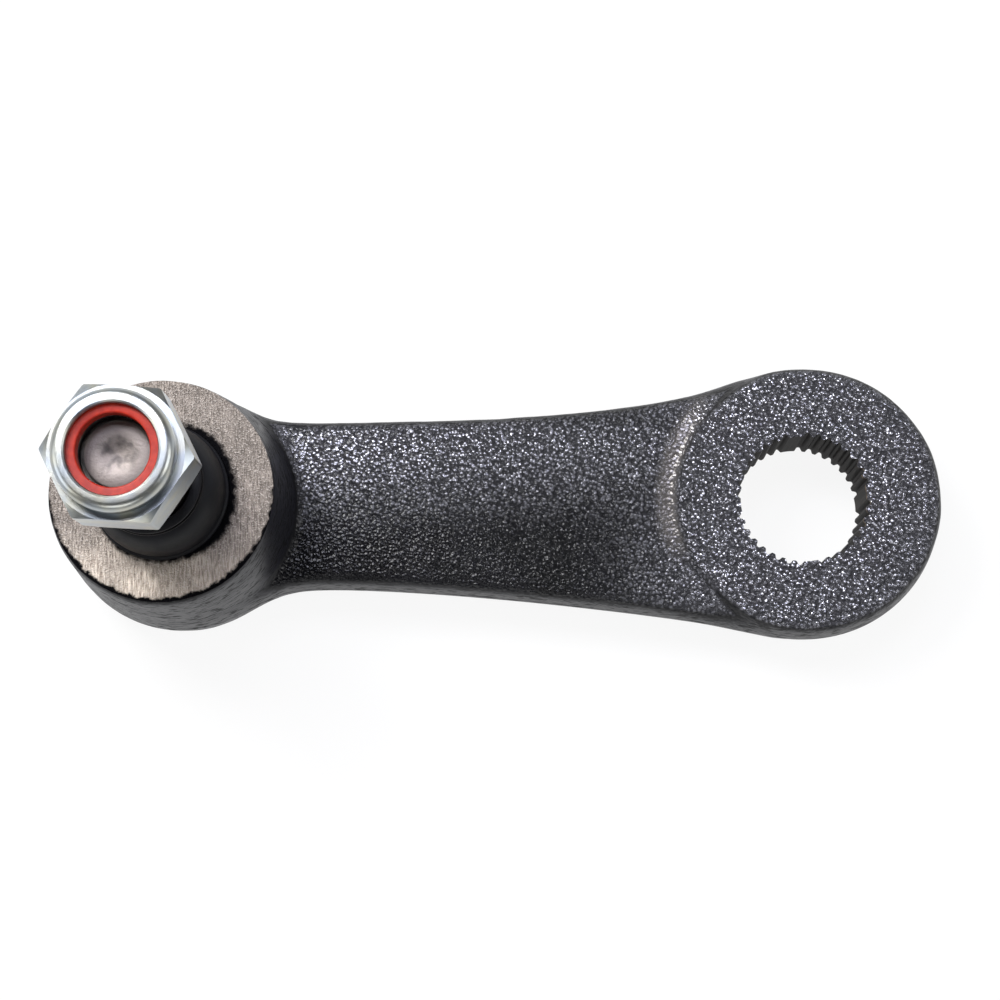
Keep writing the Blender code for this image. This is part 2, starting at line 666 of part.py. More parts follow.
def boot_neck_ring(collection, finish, parent):
    """The wire ring in the groove under the neck's bead."""
    neck_outer = TAPER_RADIUS + SEAT_CLEARANCE + BOOT_NECK_WALL
    radius = NECK_RING_WIRE / 2
    middle = neck_outer + SEAT_CLEARANCE + radius
    neck_top = FACE_Z + BOOT_SIDE_HEIGHT + BOOT_DOME_RISE + BOOT_NECK_HEIGHT
    bead_bottom = neck_top - BOOT_BEAD_HEIGHT - BOOT_BEAD_BEVEL
    height = bead_bottom - SEAT_CLEARANCE - radius
    sides = 6
    angles = [math.pi / 2 - 2 * math.pi * i / sides for i in range(sides)]
    outline = [(middle + radius * math.cos(a), height + radius * math.sin(a)) for a in angles]
    return turned("boot_neck_ring", outline, collection, 0.0, finish, parent)


def lock_nut(collection, cutters, finish, parent):
    """A hexagon chamfered at both ends, with a round collar rolled over the insert."""
    mesh = bpy.data.meshes.new("lock_nut")
    bm = bmesh.new()
    corner = NUT_FLATS / math.sqrt(3)
    place = Matrix.Translation((0.0, 0.0, NUT_Z + HEX_HEIGHT / 2))
    turn = Matrix.Rotation(NUT_CLOCKING - math.pi / 2, 4, "Z")  # from the corner that is made on +Y
    bmesh.ops.create_cone(
        bm,
        cap_ends=True,
        segments=6,
        radius1=corner,
        radius2=corner,
        depth=HEX_HEIGHT,
        matrix=place @ turn,
    )
    bm.to_mesh(mesh)
    bm.free()
    obj = add_object("lock_nut", mesh, collection, finish, parent)
    boolean(obj, "INTERSECT", hex_chamfer(cutters, parent))
    boolean(obj, "UNION", nut_collar(cutters, parent))
    boolean(obj, "DIFFERENCE", nut_bore(cutters, parent))
    return obj


def hex_chamfer(cutters, parent):
    """The cone that takes the hexagon's corners down at each end."""
    over = 0.5 * MM
    reach = NUT_FLATS / math.sqrt(3) + over  # outside the corners
    drop = (reach - HEX_CHAMFER_RADIUS) * math.tan(HEX_CHAMFER_SLOPE)
    outline = [
        (0.0, COLLAR_Z + over),
        (HEX_CHAMFER_RADIUS - over / math.tan(HEX_CHAMFER_SLOPE), COLLAR_Z + over),
        (reach, COLLAR_Z - drop),
        (reach, NUT_Z + drop),
        (HEX_CHAMFER_RADIUS - over / math.tan(HEX_CHAMFER_SLOPE), NUT_Z - over),
        (0.0, NUT_Z - over),
    ]
    return as_cutter(turned("hex_chamfer", outline, cutters, 0.0, None, parent))


def nut_collar(cutters, parent):
    """The round collar. Its top edge is rolled over in a quarter circle."""
    sink = HEX_HEIGHT / 2
    steps = 4
    roll = []
    for i in range(steps + 1):
        turn = math.pi / 2 * (1 - i / steps)
        roll.append(
            (
                COLLAR_RADIUS - COLLAR_ROUND + COLLAR_ROUND * math.cos(turn),
                NUT_TOP - COLLAR_ROUND + COLLAR_ROUND * math.sin(turn),
            )
        )
    outline = [
        (0.0, NUT_TOP),
        *roll,
        (COLLAR_RADIUS, COLLAR_Z - sink),
        (0.0, COLLAR_Z - sink),
    ]
    return as_cutter(turned("nut_collar", outline, cutters, 0.0, None, parent))


def nut_bore(cutters, parent):
    """The threaded hole, the insert's seat and the rim's opening, with its inner edge rounded."""
    over = 2.0 * MM
    hole = THREAD_RADIUS + SEAT_CLEARANCE
    seat = COLLAR_RADIUS - COLLAR_WALL
    seat_top = NUT_TOP - RIM_THICKNESS
    mouth = hole + NUT_MOUTH_CHAMFER
    outline = [
        (0.0, NUT_TOP + over),
        (RIM_RADIUS + RIM_ROUND + over, NUT_TOP + over),
        (RIM_RADIUS + RIM_ROUND, NUT_TOP),
        (RIM_RADIUS, NUT_TOP - RIM_ROUND),
        (RIM_RADIUS, seat_top),
        (seat, seat_top),
        (seat, COLLAR_Z),
        (hole, COLLAR_Z),
        (hole, NUT_Z + NUT_MOUTH_CHAMFER),
        (mouth + over, NUT_Z - over),
        (0.0, NUT_Z - over),
    ]
    return as_cutter(turned("nut_bore", outline, cutters, 0.0, None, parent))


def nylon_insert(collection, finish, parent):
    outer = COLLAR_RADIUS - COLLAR_WALL - SEAT_CLEARANCE
    bottom = COLLAR_Z + SEAT_CLEARANCE
    top = NUT_TOP - RIM_THICKNESS - INSERT_DROP
    outline = [
        (outer, top),
        (outer, bottom),
        (INSERT_BORE_RADIUS, bottom),
        (INSERT_BORE_RADIUS, top - INSERT_CHAMFER),
        (INSERT_BORE_RADIUS + INSERT_CHAMFER, top),
    ]
    return turned("nylon_insert", outline, collection, 0.0, finish, parent)


def axis_empty(name, collection, x, z=0.0, parent=None):
    """A marker on a joint's axis. What moves with the joint hangs from it."""
    empty = bpy.data.objects.new(name, None)
    collection.objects.link(empty)
    empty.location = (x, 0.0, z)
    empty.empty_display_size = 0.02
    empty.parent = parent
    return empty


def main():
    clear_scene()
    arm = collection_named("pitman_arm")
    cutters = collection_named("cutters", hidden=True)

    forged = material("black_forging", (0.012, 0.012, 0.014), 0.42, 0.55)
    steel = material("bright_steel", (0.52, 0.51, 0.49), 0.32, 1.0)
    zinc = material("zinc_plate", (0.70, 0.72, 0.74), 0.25, 1.0)
    rubber = material("boot_rubber", (0.012, 0.013, 0.016), 0.48, 0.0)
    nylon = material("red_nylon", (0.55, 0.06, 0.03), 0.38, 0.0)
    bearing = material("bearing_plastic", (0.78, 0.74, 0.62), 0.45, 0.0)

    forging(arm, cutters, forged)
    upper_bearing(arm, bearing)
    lower_bearing(arm, bearing)
    preload_spring(arm, steel)
    end_cover(arm, steel)

    swing = axis_empty("stud_swing_axis", arm, STUD_X)
    tilt = axis_empty("stud_tilt_axis", arm, 0.0, 0.0, swing)
    spin = axis_empty("stud_spin_axis", arm, 0.0, 0.0, tilt)
    dust_boot(arm, rubber, swing)
    boot_base_ring(arm, steel, swing)
    boot_neck_ring(arm, steel, tilt)
    ball_stud(arm, steel, spin)
    lock_nut(arm, cutters, zinc, spin)
    nylon_insert(arm, nylon, spin)


main()
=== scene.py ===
"""Looks of a steering drop arm: a black forged arm, its booted ball stud and lock nut, on a white table.

X runs from the ball joint to the splined eye, and Z points up along the stud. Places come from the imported
solids where their boxes give them, and the other sizes repeat those of the solids. Lengths are metres.
"""

import math

import bmesh
import bpy
from mathutils import Matrix, Vector, noise


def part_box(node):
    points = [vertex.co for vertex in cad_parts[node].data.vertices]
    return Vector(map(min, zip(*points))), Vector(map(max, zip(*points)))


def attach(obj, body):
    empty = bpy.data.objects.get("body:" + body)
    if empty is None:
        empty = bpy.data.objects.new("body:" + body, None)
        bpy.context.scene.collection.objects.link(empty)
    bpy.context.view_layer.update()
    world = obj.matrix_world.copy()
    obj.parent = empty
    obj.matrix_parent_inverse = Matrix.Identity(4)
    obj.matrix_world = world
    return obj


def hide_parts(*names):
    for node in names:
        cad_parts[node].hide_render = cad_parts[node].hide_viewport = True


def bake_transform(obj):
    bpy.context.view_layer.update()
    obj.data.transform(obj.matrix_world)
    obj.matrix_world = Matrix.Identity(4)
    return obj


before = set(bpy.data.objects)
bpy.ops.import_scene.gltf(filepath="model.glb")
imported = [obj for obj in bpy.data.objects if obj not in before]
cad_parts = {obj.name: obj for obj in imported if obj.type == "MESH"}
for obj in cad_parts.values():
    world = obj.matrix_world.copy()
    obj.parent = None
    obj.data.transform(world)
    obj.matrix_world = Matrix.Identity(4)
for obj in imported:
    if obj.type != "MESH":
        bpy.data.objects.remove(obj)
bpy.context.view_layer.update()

MM = 0.001
FULL_TURN = 2 * math.pi

# Places that the solids give
_, arm_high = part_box("arm_forging")
stud_low, stud_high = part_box("ball_stud")
nut_low, nut_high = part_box("lock_nut")
boot_low, boot_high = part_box("dust_boot")
insert_low, insert_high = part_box("nylon_insert")
cover_low, cover_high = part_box("end_cover")
neck_ring_low, neck_ring_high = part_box("boot_neck_ring")

STUD_X = (stud_low.x + stud_high.x) / 2
FACE_Z = arm_high.z
STUD_END_Z = stud_high.z
NUT_Z = nut_low.z
NUT_TOP = nut_high.z

# The forging
ARM_CENTRES = 149.0 * MM  # from the stud's axis to the bore's
DRAFT = math.radians(6.0)
BOSS_DRAFT = math.radians(5.0)
EYE_THICKNESS = 23.0 * MM
EYE_RADIUS = 32.6 * MM  # at the parting line
EYE_OVERHANG = 1.3 * MM  # the outline's centre lies this far past the bore's
EYE_SHOULDER = 4.5 * MM
EYE_CORNER_SETBACK = 0.7 * MM
WEB_THICKNESS = 18.6 * MM
WEB_CROWN = 0.9 * MM
WEB_HALF_LEFT = 21.4 * MM  # half width on the +Y side, at the housing
WEB_HALF_RIGHT = 19.4 * MM
WEB_SWEEP_LEFT = 4.0  # how late the edge swings out to the eye
WEB_SWEEP_RIGHT = 1.6
WEB_END_FLARE = 1.7 * MM
WEB_EDGE_SHARPNESS = 0.33
WEB_FILLET = 6.2 * MM
WEB_ROWS = (0.07, 0.30, 0.56, 0.80, 0.93)
BOSS_FACE_RADIUS = 26.1 * MM
BOSS_STOCK = 2.0 * MM  # left above the face for machining, at its middle
BOSS_TOP_SLOPE = 0.044  # rise of the forged top towards +Y
BOSS_TOP_SUPPORT = 5.0 * MM
BOSS_EDGE_DROP = 3.0 * MM
BOSS_OPEN = math.radians(45.0)
EYE_OPEN = math.radians(62.0)
UNDERSIDE_SUPPORT = 5.0 * MM
ROUND_SIDES = 12
WEB_STEPS = 3
FORGING_LEVELS = 4

BORE_X = STUD_X + ARM_CENTRES
EYE_X = BORE_X + EYE_OVERHANG
PARTING_Z = EYE_THICKNESS / 2
WEB_TOP = PARTING_Z + WEB_THICKNESS / 2
WEB_BOTTOM = PARTING_Z - WEB_THICKNESS / 2
BOSS_RADIUS = BOSS_FACE_RADIUS + (FACE_Z - PARTING_Z) * math.tan(BOSS_DRAFT)
FLASH_SCAR = 1.1 * MM  # half height of the trimmed parting line
SKIN_UNEVENNESS = 0.22 * MM

# The splined bore
SPLINE_MAJOR_RADIUS = 15.875 * MM
SPLINE_DEPTH = 0.95 * MM
SPLINE_PITCHES = 36
SPLINE_BLINDS = 4
SPLINE_CLOCKING = math.radians(5.4)
SPLINE_FACETS = 12  # of each pitch

# The socket
BALL_Z = FACE_Z - 16.0 * MM
BALL_RADIUS = 15.0 * MM
CAVITY_RADIUS = 17.5 * MM
NECK_RADIUS = 6.75 * MM
STUD_TILT = math.radians(15.0)
MOUTH_CLEARANCE = 0.8 * MM
COUNTERBORE_RADIUS = 15.3 * MM
COUNTERBORE_DEPTH = 2.0 * MM
RECESS_RADIUS = 20.0 * MM
RECESS_TOP = cover_high.z + 0.3 * MM
STAKE_HEIGHT = 3.5 * MM
STAKE_OVERLAP = 1.6 * MM
STAKE_EDGE = 0.6 * MM

# The stud
NECK_TOP_Z = FACE_Z + 4.0 * MM
TAPER_Z = FACE_Z + 13.0 * MM
TAPER_LENGTH = 23.4 * MM
TAPER_END_Z = TAPER_Z + TAPER_LENGTH
TAPER_RADIUS = 9.45 * MM
TAPER_END_RADIUS = TAPER_RADIUS - TAPER_LENGTH / 16  # one in eight, on the diameter
THREAD_RADIUS = 7.94 * MM
THREAD_PITCH = 25.4 / 18 * MM
THREAD_DEPTH = 0.85 * MM
THREAD_CHAMFER = 0.95 * MM

# The nut
NUT_FLATS = 28.0 * MM
NUT_CLOCKING = math.radians(-4.0)  # angle of a corner from +X
HEX_HEIGHT = 13.4 * MM
HEX_CHAMFER_RADIUS = 14.3 * MM
COLLAR_RADIUS = 12.85 * MM
COLLAR_WALL = 1.6 * MM
COLLAR_ROUND = 1.9 * MM
RIM_RADIUS = 9.55 * MM
RIM_THICKNESS = 1.3 * MM
COLLAR_Z = NUT_Z + HEX_HEIGHT

# Facets round the turned pieces
TURNED_SIDES = 96
STUD_SIDES = 72
NUT_SIDES = 144

WELD = 0.002 * MM  # corners closer than this are merged
SLACK = 0.01 * MM  # allowed where faces are told apart by their place


# Modelling helpers

def begin(name):
    """Names the primitive that was just added."""
    obj = bpy.context.object
    obj.name = name
    obj.data.name = name
    return obj


def edit(on):
    """Goes into edit mode, or back out of it."""
    bpy.ops.object.mode_set(mode="EDIT" if on else "OBJECT")


def deselect_objects():
    bpy.ops.object.select_all(action="DESELECT")


def pick(*pieces):
    """Selects only these pieces, and makes the first the active one."""
    deselect_objects()
    for piece in pieces:
        piece.select_set(True)
    bpy.context.view_layer.objects.active = pieces[0]


def choose(obj, kind, test):
    """In edit mode, selects only the faces, edges or verts that pass the test."""
    mesh = bmesh.from_edit_mesh(obj.data)
    mesh.select_mode = {kind}
    for group in (mesh.verts, mesh.edges, mesh.faces):
        for item in group:
            item.select_set(False)
    mesh.select_flush_mode()
    for item in getattr(mesh, {"VERT": "verts", "EDGE": "edges", "FACE": "faces"}[kind]):
        if test(item):
            item.select_set(True)
    bpy.context.tool_settings.mesh_select_mode = (kind == "VERT", kind == "EDGE", kind == "FACE")
    bmesh.update_edit_mesh(obj.data)


def apply_modifier(obj, kind, **settings):
    """Adds a modifier to the piece and applies it."""
    pick(obj)
    modifier = obj.modifiers.new(kind.lower(), kind)
    for key, value in settings.items():
        setattr(modifier, key, value)
    bpy.ops.object.modifier_apply(modifier=modifier.name)


def carve(obj, operation, cutter):
    """Cuts, joins or intersects the piece with another, which is then removed."""
    apply_modifier(obj, "BOOLEAN", operation=operation, solver="EXACT", object=cutter)
    bpy.data.objects.remove(cutter, do_unlink=True)


def smooth(obj, angle):
    """Shades the piece smooth, but for edges sharper than this many degrees."""
    pick(obj)
    bpy.ops.object.shade_smooth_by_angle(angle=math.radians(angle))


def turned(name, outline, sides=TURNED_SIDES):
    """A piece turned on the stud's axis: its (radius, height) points are drawn by extruding, then spun.

    The outline is closed round a ring, and open where both its ends lie on the axis.
    """
    deselect_objects()
    bpy.ops.mesh.primitive_plane_add(size=MM)
    obj = begin(name)
    edit(True)
    bpy.ops.mesh.select_mode(type="VERT")
    bpy.ops.mesh.select_all(action="SELECT")
    bpy.ops.mesh.merge(type="CENTER")
    radius, height = outline[0]
    bpy.ops.transform.translate(value=(STUD_X + radius, 0.0, height))
    for r, z in outline[1:]:
        bpy.ops.mesh.extrude_vertices_move(TRANSFORM_OT_translate={"value": (r - radius, 0.0, z - height)})
        radius, height = r, z
    if outline[0][0] > 0:
        ends = [Vector((STUD_X + r, 0, z)) for r, z in (outline[0], outline[-1])]
        choose(obj, "VERT", lambda v: min((v.co - end).length for end in ends) < WELD / 2)
        bpy.ops.mesh.edge_face_add()
    bpy.ops.mesh.select_all(action="SELECT")
    bpy.ops.mesh.spin(steps=sides, angle=FULL_TURN, center=(STUD_X, 0, 0), axis=(0, 0, 1))
    bpy.ops.mesh.select_all(action="SELECT")
    bpy.ops.mesh.remove_doubles(threshold=WELD)
    bpy.ops.mesh.normals_make_consistent(inside=False)
    edit(False)
    return obj


def arc(radius, start, end, steps, centre_r=0.0, centre_z=0.0):
    """Points of a circle's outline. Angles are from the vertical axis, down the outer side."""
    angles = [start + (end - start) * i / steps for i in range(steps + 1)]
    return [(centre_r + radius * math.sin(a), centre_z + radius * math.cos(a)) for a in angles]


def assign(obj, finishes, choice=None):
    """Gives the piece its finishes. choice(face) is the number of the face's finish."""
    obj.data.materials.clear()
    for item in finishes:
        obj.data.materials.append(item)
    if choice is not None:
        for polygon in obj.data.polygons:
            polygon.material_index = choice(polygon)


def soft_step(value, low, high):
    """The value's place between two bounds, eased from 0 to 1."""
    share = min(max((value - low) / (high - low), 0.0), 1.0)
    return share * share * (3 - 2 * share)


# Finishes

def linear(hex_colour):
    """An sRGB hex colour as the linear colour that a shader takes."""
    parts = [int(hex_colour[i : i + 2], 16) / 255 for i in (1, 3, 5)]
    return (*[p / 12.92 if p <= 0.04045 else ((p + 0.055) / 1.055) ** 2.4 for p in parts], 1.0)


def add(tree, kind, inputs=(), **settings):
    """Adds a node with its settings and links, and gives its outputs.

    The inputs are for its sockets in turn or, in a dict, by name or number. Each is a value, a hex colour
    or the output that feeds the socket.
    """
    made = tree.nodes.new("ShaderNode" + kind)
    for key, value in settings.items():
        setattr(made, key, value)
    for key, value in inputs.items() if isinstance(inputs, dict) else enumerate(inputs):
        if isinstance(value, bpy.types.NodeSocket):
            tree.links.new(value, made.inputs[key])
        else:
            made.inputs[key].default_value = linear(value) if isinstance(value, str) else value
    return made.outputs


def begin_finish(name, **sockets):
    """A new material, and the place on the piece that its patterns read.

    The sockets are values of its shader, with _ for a space in their names.
    """
    made = bpy.data.materials.new(name)
    made.use_nodes = True
    tree = made.node_tree
    for key, value in sockets.items():
        tree.nodes["Principled BSDF"].inputs[key.replace("_", " ")].default_value = value
    return made, tree, add(tree, "TexCoord")["Object"]


def feed(tree, **outputs):
    """Links outputs to the shader's sockets of these names, with _ for a space."""
    for key, output in outputs.items():
        tree.links.new(output, tree.nodes["Principled BSDF"].inputs[key.replace("_", " ")])


def zone(tree, *limits):
    """A share of 1 where every limit is met, and of 0 where one isn't.

    A limit is a value with the bounds that it eases between, and may end with other shares for them.
    """
    shares = [add(tree, "MapRange", limit, interpolation_type="SMOOTHSTEP")[0] for limit in limits]
    overlap = shares[0]
    for share in shares[1:]:
        overlap = add(tree, "Math", (overlap, share), operation="MULTIPLY")[0]
    return overlap


def tint(tree, colour, other, *limits):
    """The colour, turned to the other one in a zone."""
    return add(tree, "Mix", {0: zone(tree, *limits), 6: colour, 7: other}, data_type="RGBA")[2]


def off_axis(tree, place, x):
    """The place seen from the upright axis at this X, and its distance from that axis."""
    offset = add(tree, "Mapping", {"Vector": place, "Location": (-x, 0.0, 0.0), "Scale": (1.0, 1.0, 0.0)})[0]
    return offset, add(tree, "VectorMath", (offset,), operation="LENGTH")["Value"]


def drawn_noise(tree, place, sizes, detail):
    """Noise whose grains are drawn out to these sizes along X, Y and Z."""
    drawn = add(tree, "Mapping", {"Vector": place, "Scale": [1 / size for size in sizes]})[0]
    return add(tree, "TexNoise", {"Vector": drawn, "Scale": 1.0, "Detail": detail})[0]


GRAIN = 0.85 * MM  # size of the pebbles on the forging's skin
GRAIN_HEIGHT = 0.29 * MM
GRAIN_DRIFT = 0.7 * MM  # how far the pebbles stray from round cells


def forged_skin():
    """Drop-forged steel, shot-blasted and dipped in thin black paint.

    The faces that point up are pebbled and glint where the pebbles' tops are burnished; those tops are also
    painted pale, as painted glints and a painted sheen. The die's side walls are smooth and near black, with
    small dull nicks.
    """
    made, tree, place = begin_finish("black_dipped_forging", Specular_IOR_Level=0.25)
    x, y, _ = add(tree, "SeparateXYZ", (place,))
    facing = add(tree, "SeparateXYZ", (add(tree, "TexCoord")["Normal"],))["Z"]
    up = add(tree, "Math", (facing,), operation="ABSOLUTE")[0]
    # the step up to the eye is rubbed smooth where it faces the web; its lighter brownish tone is partly
    # worn steel and partly a painted highlight of the slope that faces the lamps
    _, reach = off_axis(tree, place, EYE_X)
    step = zone(
        tree,
        (reach, 30.5 * MM, 32.5 * MM),
        (reach, 37.5 * MM, 34.0 * MM),
        (x, 52 * MM, 44 * MM),
        (y, -17 * MM, -5 * MM),
    )

    drift = add(tree, "TexNoise", {"Vector": place, "Scale": 1 / (1.6 * MM), "Detail": 2.0})["Color"]
    shift = add(tree, "VectorMath", {0: drift, "Scale": GRAIN_DRIFT}, operation="SCALE")[0]
    moved = add(tree, "VectorMath", (place, shift), operation="ADD")[0]
    cells = {"Vector": moved, "Scale": 1 / GRAIN, "Smoothness": 0.2}
    pebbles = add(tree, "TexVoronoi", cells, feature="SMOOTH_F1")[0]
    fine = add(tree, "TexNoise", {"Vector": place, "Scale": 1 / (0.7 * MM), "Detail": 1.0})[0]
    swell = add(tree, "TexNoise", {"Vector": place, "Scale": 1 / (3.2 * MM), "Detail": 2.0})[0]
    rounded = add(tree, "Math", (pebbles, pebbles), operation="MULTIPLY")[0]
    height = add(tree, "Math", (rounded, -2.0), operation="MULTIPLY")[0]
    for pattern in (fine, swell):
        height = add(tree, "Math", (pattern, 0.9, height), operation="MULTIPLY_ADD")[0]
    # the pebbles are shallow on the walls, on the step and beside the housing, and grow towards the eye
    pebbled = zone(tree, (up, 0.55, 0.9, 0.16), (step, 0.0, 1.0, 1.0, 0.25), (x, -48 * MM, 20 * MM, 0.45))
    height = add(tree, "Math", (height, pebbled), operation="MULTIPLY")[0]
    relief = add(tree, "Bump", {"Height": height, "Distance": GRAIN_HEIGHT})[0]

    # the paint is a little patchy
    patches = add(tree, "TexNoise", {"Vector": place, "Scale": 1 / (12 * MM), "Detail": 4.0})[0]
    tone = tint(tree, "#08080a", "#101013", (patches, 0.35, 0.65))
    # the pebbles' tops are burnished towards the bare steel and painted pale as painted glints, spread as a
    # painted sheen that is strongest round the eye and on the web's +Y half, which gives the bright specks
    chance = add(tree, "TexNoise", {"Vector": place, "Scale": 1 / (1.1 * MM), "Detail": 3.0})[0]
    peaks = add(tree, "Math", (chance, -0.9, pebbles), operation="MULTIPLY_ADD")[0]
    # painted sheen: stronger on the web's +Y half and round the eye
    along_side = zone(tree, (y, -9 * MM, 13 * MM, 0.0, 0.75), (y, 21 * MM, 16 * MM, 0.4))
    round_eye = zone(tree, (x, 18 * MM, 55 * MM))
    painted_sheen_share = add(tree, "Math", (along_side, round_eye), operation="MAXIMUM")[0]
    tops = zone(tree, (peaks, 0.08, -0.2, 0.14), (up, 0.6, 0.85))
    burnish_and_glint = add(tree, "Math", (tops, painted_sheen_share), operation="MULTIPLY")[0]
    # painted glints: the burnished tops are painted pale
    tone = add(tree, "Mix", {0: burnish_and_glint, 6: tone, 7: "#85858c"}, data_type="RGBA")[2]
    # the step's lighter brownish tone: worn steel with a painted highlight
    step_wear_and_highlight = add(tree, "Math", (step, 0.7), operation="MULTIPLY")[0]
    tone = add(tree, "Mix", {0: step_wear_and_highlight, 6: tone, 7: "#5f5b58"}, data_type="RGBA")[2]
    polished = add(tree, "Math", (step, 0.35), operation="MULTIPLY")[0]
    bare_and_sheen = add(tree, "Math", (burnish_and_glint, polished), operation="MAXIMUM")[0]

    # the nicks break up the walls' coat, in tone and more in gloss
    nicked = drawn_noise(tree, place, (2.6 * MM, 2.6 * MM, 0.9 * MM), 4.0)
    nick = (nicked, 0.52, 0.62)
    tone = tint(tree, tint(tree, "#1e1e24", "#0f0f11", nick), tone, (up, 0.25, 0.6))
    coat = zone(tree, (up, 0.4, 0.85, 0.40, 0.23))
    dulled = zone(tree, nick, (up, 0.6, 0.25, 0.0, 0.25))
    rough = add(tree, "Math", (coat, dulled), operation="ADD")[0]
    feed(tree, Base_Color=tone, Metallic=bare_and_sheen, Roughness=rough, Normal=relief)
    return made


def ground_face():
    """Steel faced on a surface grinder: warm grey, finely lined, with a painted sparkle on its grit."""
    made, tree, place = begin_finish("ground_steel_face", Metallic=1.0)
    x, y, _ = add(tree, "SeparateXYZ", (place,))
    # the lines run along Y; real ones are about 0.1 mm apart and are drawn coarser so that they show
    lines = drawn_noise(tree, place, (0.3 * MM, 2.5 * MM, 2.5 * MM), 3.0)
    grit = add(tree, "TexNoise", {"Vector": place, "Scale": 1 / (0.4 * MM), "Detail": 3.0})[0]
    cloud = add(tree, "TexNoise", {"Vector": place, "Scale": 1 / (9 * MM), "Detail": 3.0})[0]
    height = add(tree, "Math", (grit, 2.4, lines), operation="MULTIPLY_ADD")[0]
    relief = add(tree, "Bump", {"Height": height, "Distance": 0.13 * MM})[0]
    # the -Y side is painted paler as painted light, standing in for the light that the nut and the boot keep
    # off it
    painted_light_side = (y, -6 * MM, -20 * MM)
    dark = tint(tree, "#645d57", "#978b80", painted_light_side)
    pale = tint(tree, "#999088", "#d9cec2", painted_light_side)
    tone = tint(tree, dark, pale, (lines, 0.3, 0.7))
    tone = tint(tree, tone, "#625c57", (cloud, 0.6, 0.4, 0.0, 0.4))
    # pale grit specks, a painted sparkle
    tone = tint(tree, tone, "#cfc7c0", (grit, 0.5, 0.7, 0.0, 0.6))

    # black skin is left where the face runs out to the forging's own rounded edge, most on the -Y side
    _, reach = off_axis(tree, place, STUD_X)
    ragged = add(tree, "TexNoise", {"Vector": place, "Scale": 1 / (1.6 * MM), "Detail": 3.0})[0]
    uneven = add(tree, "Math", (ragged, -0.5), operation="ADD")[0]
    edge = add(tree, "Math", (uneven, 2.6 * MM, reach), operation="MULTIPLY_ADD")[0]
    low_side = zone(tree, (y, 18 * MM, -26 * MM, -0.3 * MM, 1.8 * MM))
    rim = add(tree, "Math", (low_side, edge), operation="ADD")[0]
    outer = zone(tree, (rim, BOSS_FACE_RADIUS - 0.4 * MM, BOSS_FACE_RADIUS + 0.4 * MM))
    # and a ragged black band rings the boot's foot, widest on the side of the arm
    arm_side = zone(tree, (x, STUD_X, STUD_X + 14 * MM, 0.0, 1.3 * MM))
    boot_band_edge = add(tree, "Math", (edge, arm_side), operation="SUBTRACT")[0]
    inner = zone(tree, (boot_band_edge, COUNTERBORE_RADIUS + 1.7 * MM, COUNTERBORE_RADIUS + 0.1 * MM))
    black = add(tree, "Math", (outer, inner), operation="MAXIMUM")[0]
    tone = add(tree, "Mix", {0: black, 6: tone, 7: "#0c0c0e"}, data_type="RGBA")[2]
    feed(tree, Base_Color=tone, Roughness=zone(tree, (grit, 0.3, 0.7, 0.50, 0.64)), Normal=relief)
    return made


def broached_steel():
    """The bore's broached wall: long tool lines and a dull brown-black, partly the dip's coat and partly
    painted shade inside the bore.
    """
    made, tree, place = begin_finish("broached_bore", Roughness=0.55, Specular_IOR_Level=0.04)
    x, _, z = add(tree, "SeparateXYZ", (place,))
    lines = drawn_noise(tree, place, (0.5 * MM, 0.5 * MM, 12 * MM), 2.0)
    relief = add(tree, "Bump", {"Height": lines, "Distance": 0.05 * MM})[0]
    # near black: the dip's coat, darkened further as painted shade inside the bore
    tone = tint(tree, "#0c0a09", "#221d1b", (lines, 0.35, 0.65))
    # a little rust at the rim on the side away from the arm
    spots = add(tree, "TexNoise", {"Vector": place, "Scale": 1 / (1.5 * MM), "Detail": 3.0})[0]
    near_top = (z, EYE_THICKNESS - 2.2 * MM, EYE_THICKNESS - 0.6 * MM)
    far_side = (x, BORE_X + 12 * MM, BORE_X + 15 * MM)
    tone = tint(tree, tone, "#75634f", near_top, far_side, (spots, 0.42, 0.55))
    feed(tree, Base_Color=tone, Normal=relief)
    return made


def bored_steel():
    """The socket's machined recess, oiled and dark, with the rings of the tool."""
    made, tree, place = begin_finish("bored_socket", Metallic=1.0, Roughness=0.4)
    lines = drawn_noise(tree, place, (5 * MM, 5 * MM, 0.25 * MM), 2.0)
    relief = add(tree, "Bump", {"Height": lines, "Distance": 0.04 * MM})[0]
    feed(tree, Base_Color=tint(tree, "#5c5652", "#8a827c", (lines, 0.35, 0.65)), Normal=relief)
    return made


def zinc_plate():
    """Bright zinc with a clear passivate: a cool silver with faint yellow and blue drifts."""
    made, tree, place = begin_finish("bright_zinc_plate", Metallic=1.0)
    drift = add(tree, "TexNoise", {"Vector": place, "Scale": 1 / (7 * MM), "Detail": 2.0})[0]
    fine = add(tree, "TexNoise", {"Vector": place, "Scale": 1 / (0.7 * MM), "Detail": 3.0})[0]
    tone = tint(tree, "#a4abb1", "#b6b5a8", (drift, 0.35, 0.7))
    feed(tree, Base_Color=tone, Roughness=zone(tree, (fine, 0.3, 0.7, 0.29, 0.34)))
    return made


def red_nylon():
    """Dyed nylon: an even warm red with a soft, slightly waxy sheen."""
    made, tree, place = begin_finish(
        "red_nylon",
        Roughness=0.45,
        Specular_IOR_Level=0.3,
        Subsurface_Weight=0.15,
        Subsurface_Scale=MM,
        Subsurface_Radius=(1.0, 0.3, 0.2),
    )
    fine = add(tree, "TexNoise", {"Vector": place, "Scale": 1 / (1.2 * MM), "Detail": 3.0})[0]
    relief = add(tree, "Bump", {"Height": fine, "Distance": 0.03 * MM})[0]
    feed(tree, Base_Color=tint(tree, "#8c1a0c", "#a02612", (fine, 0.3, 0.7)), Normal=relief)
    return made


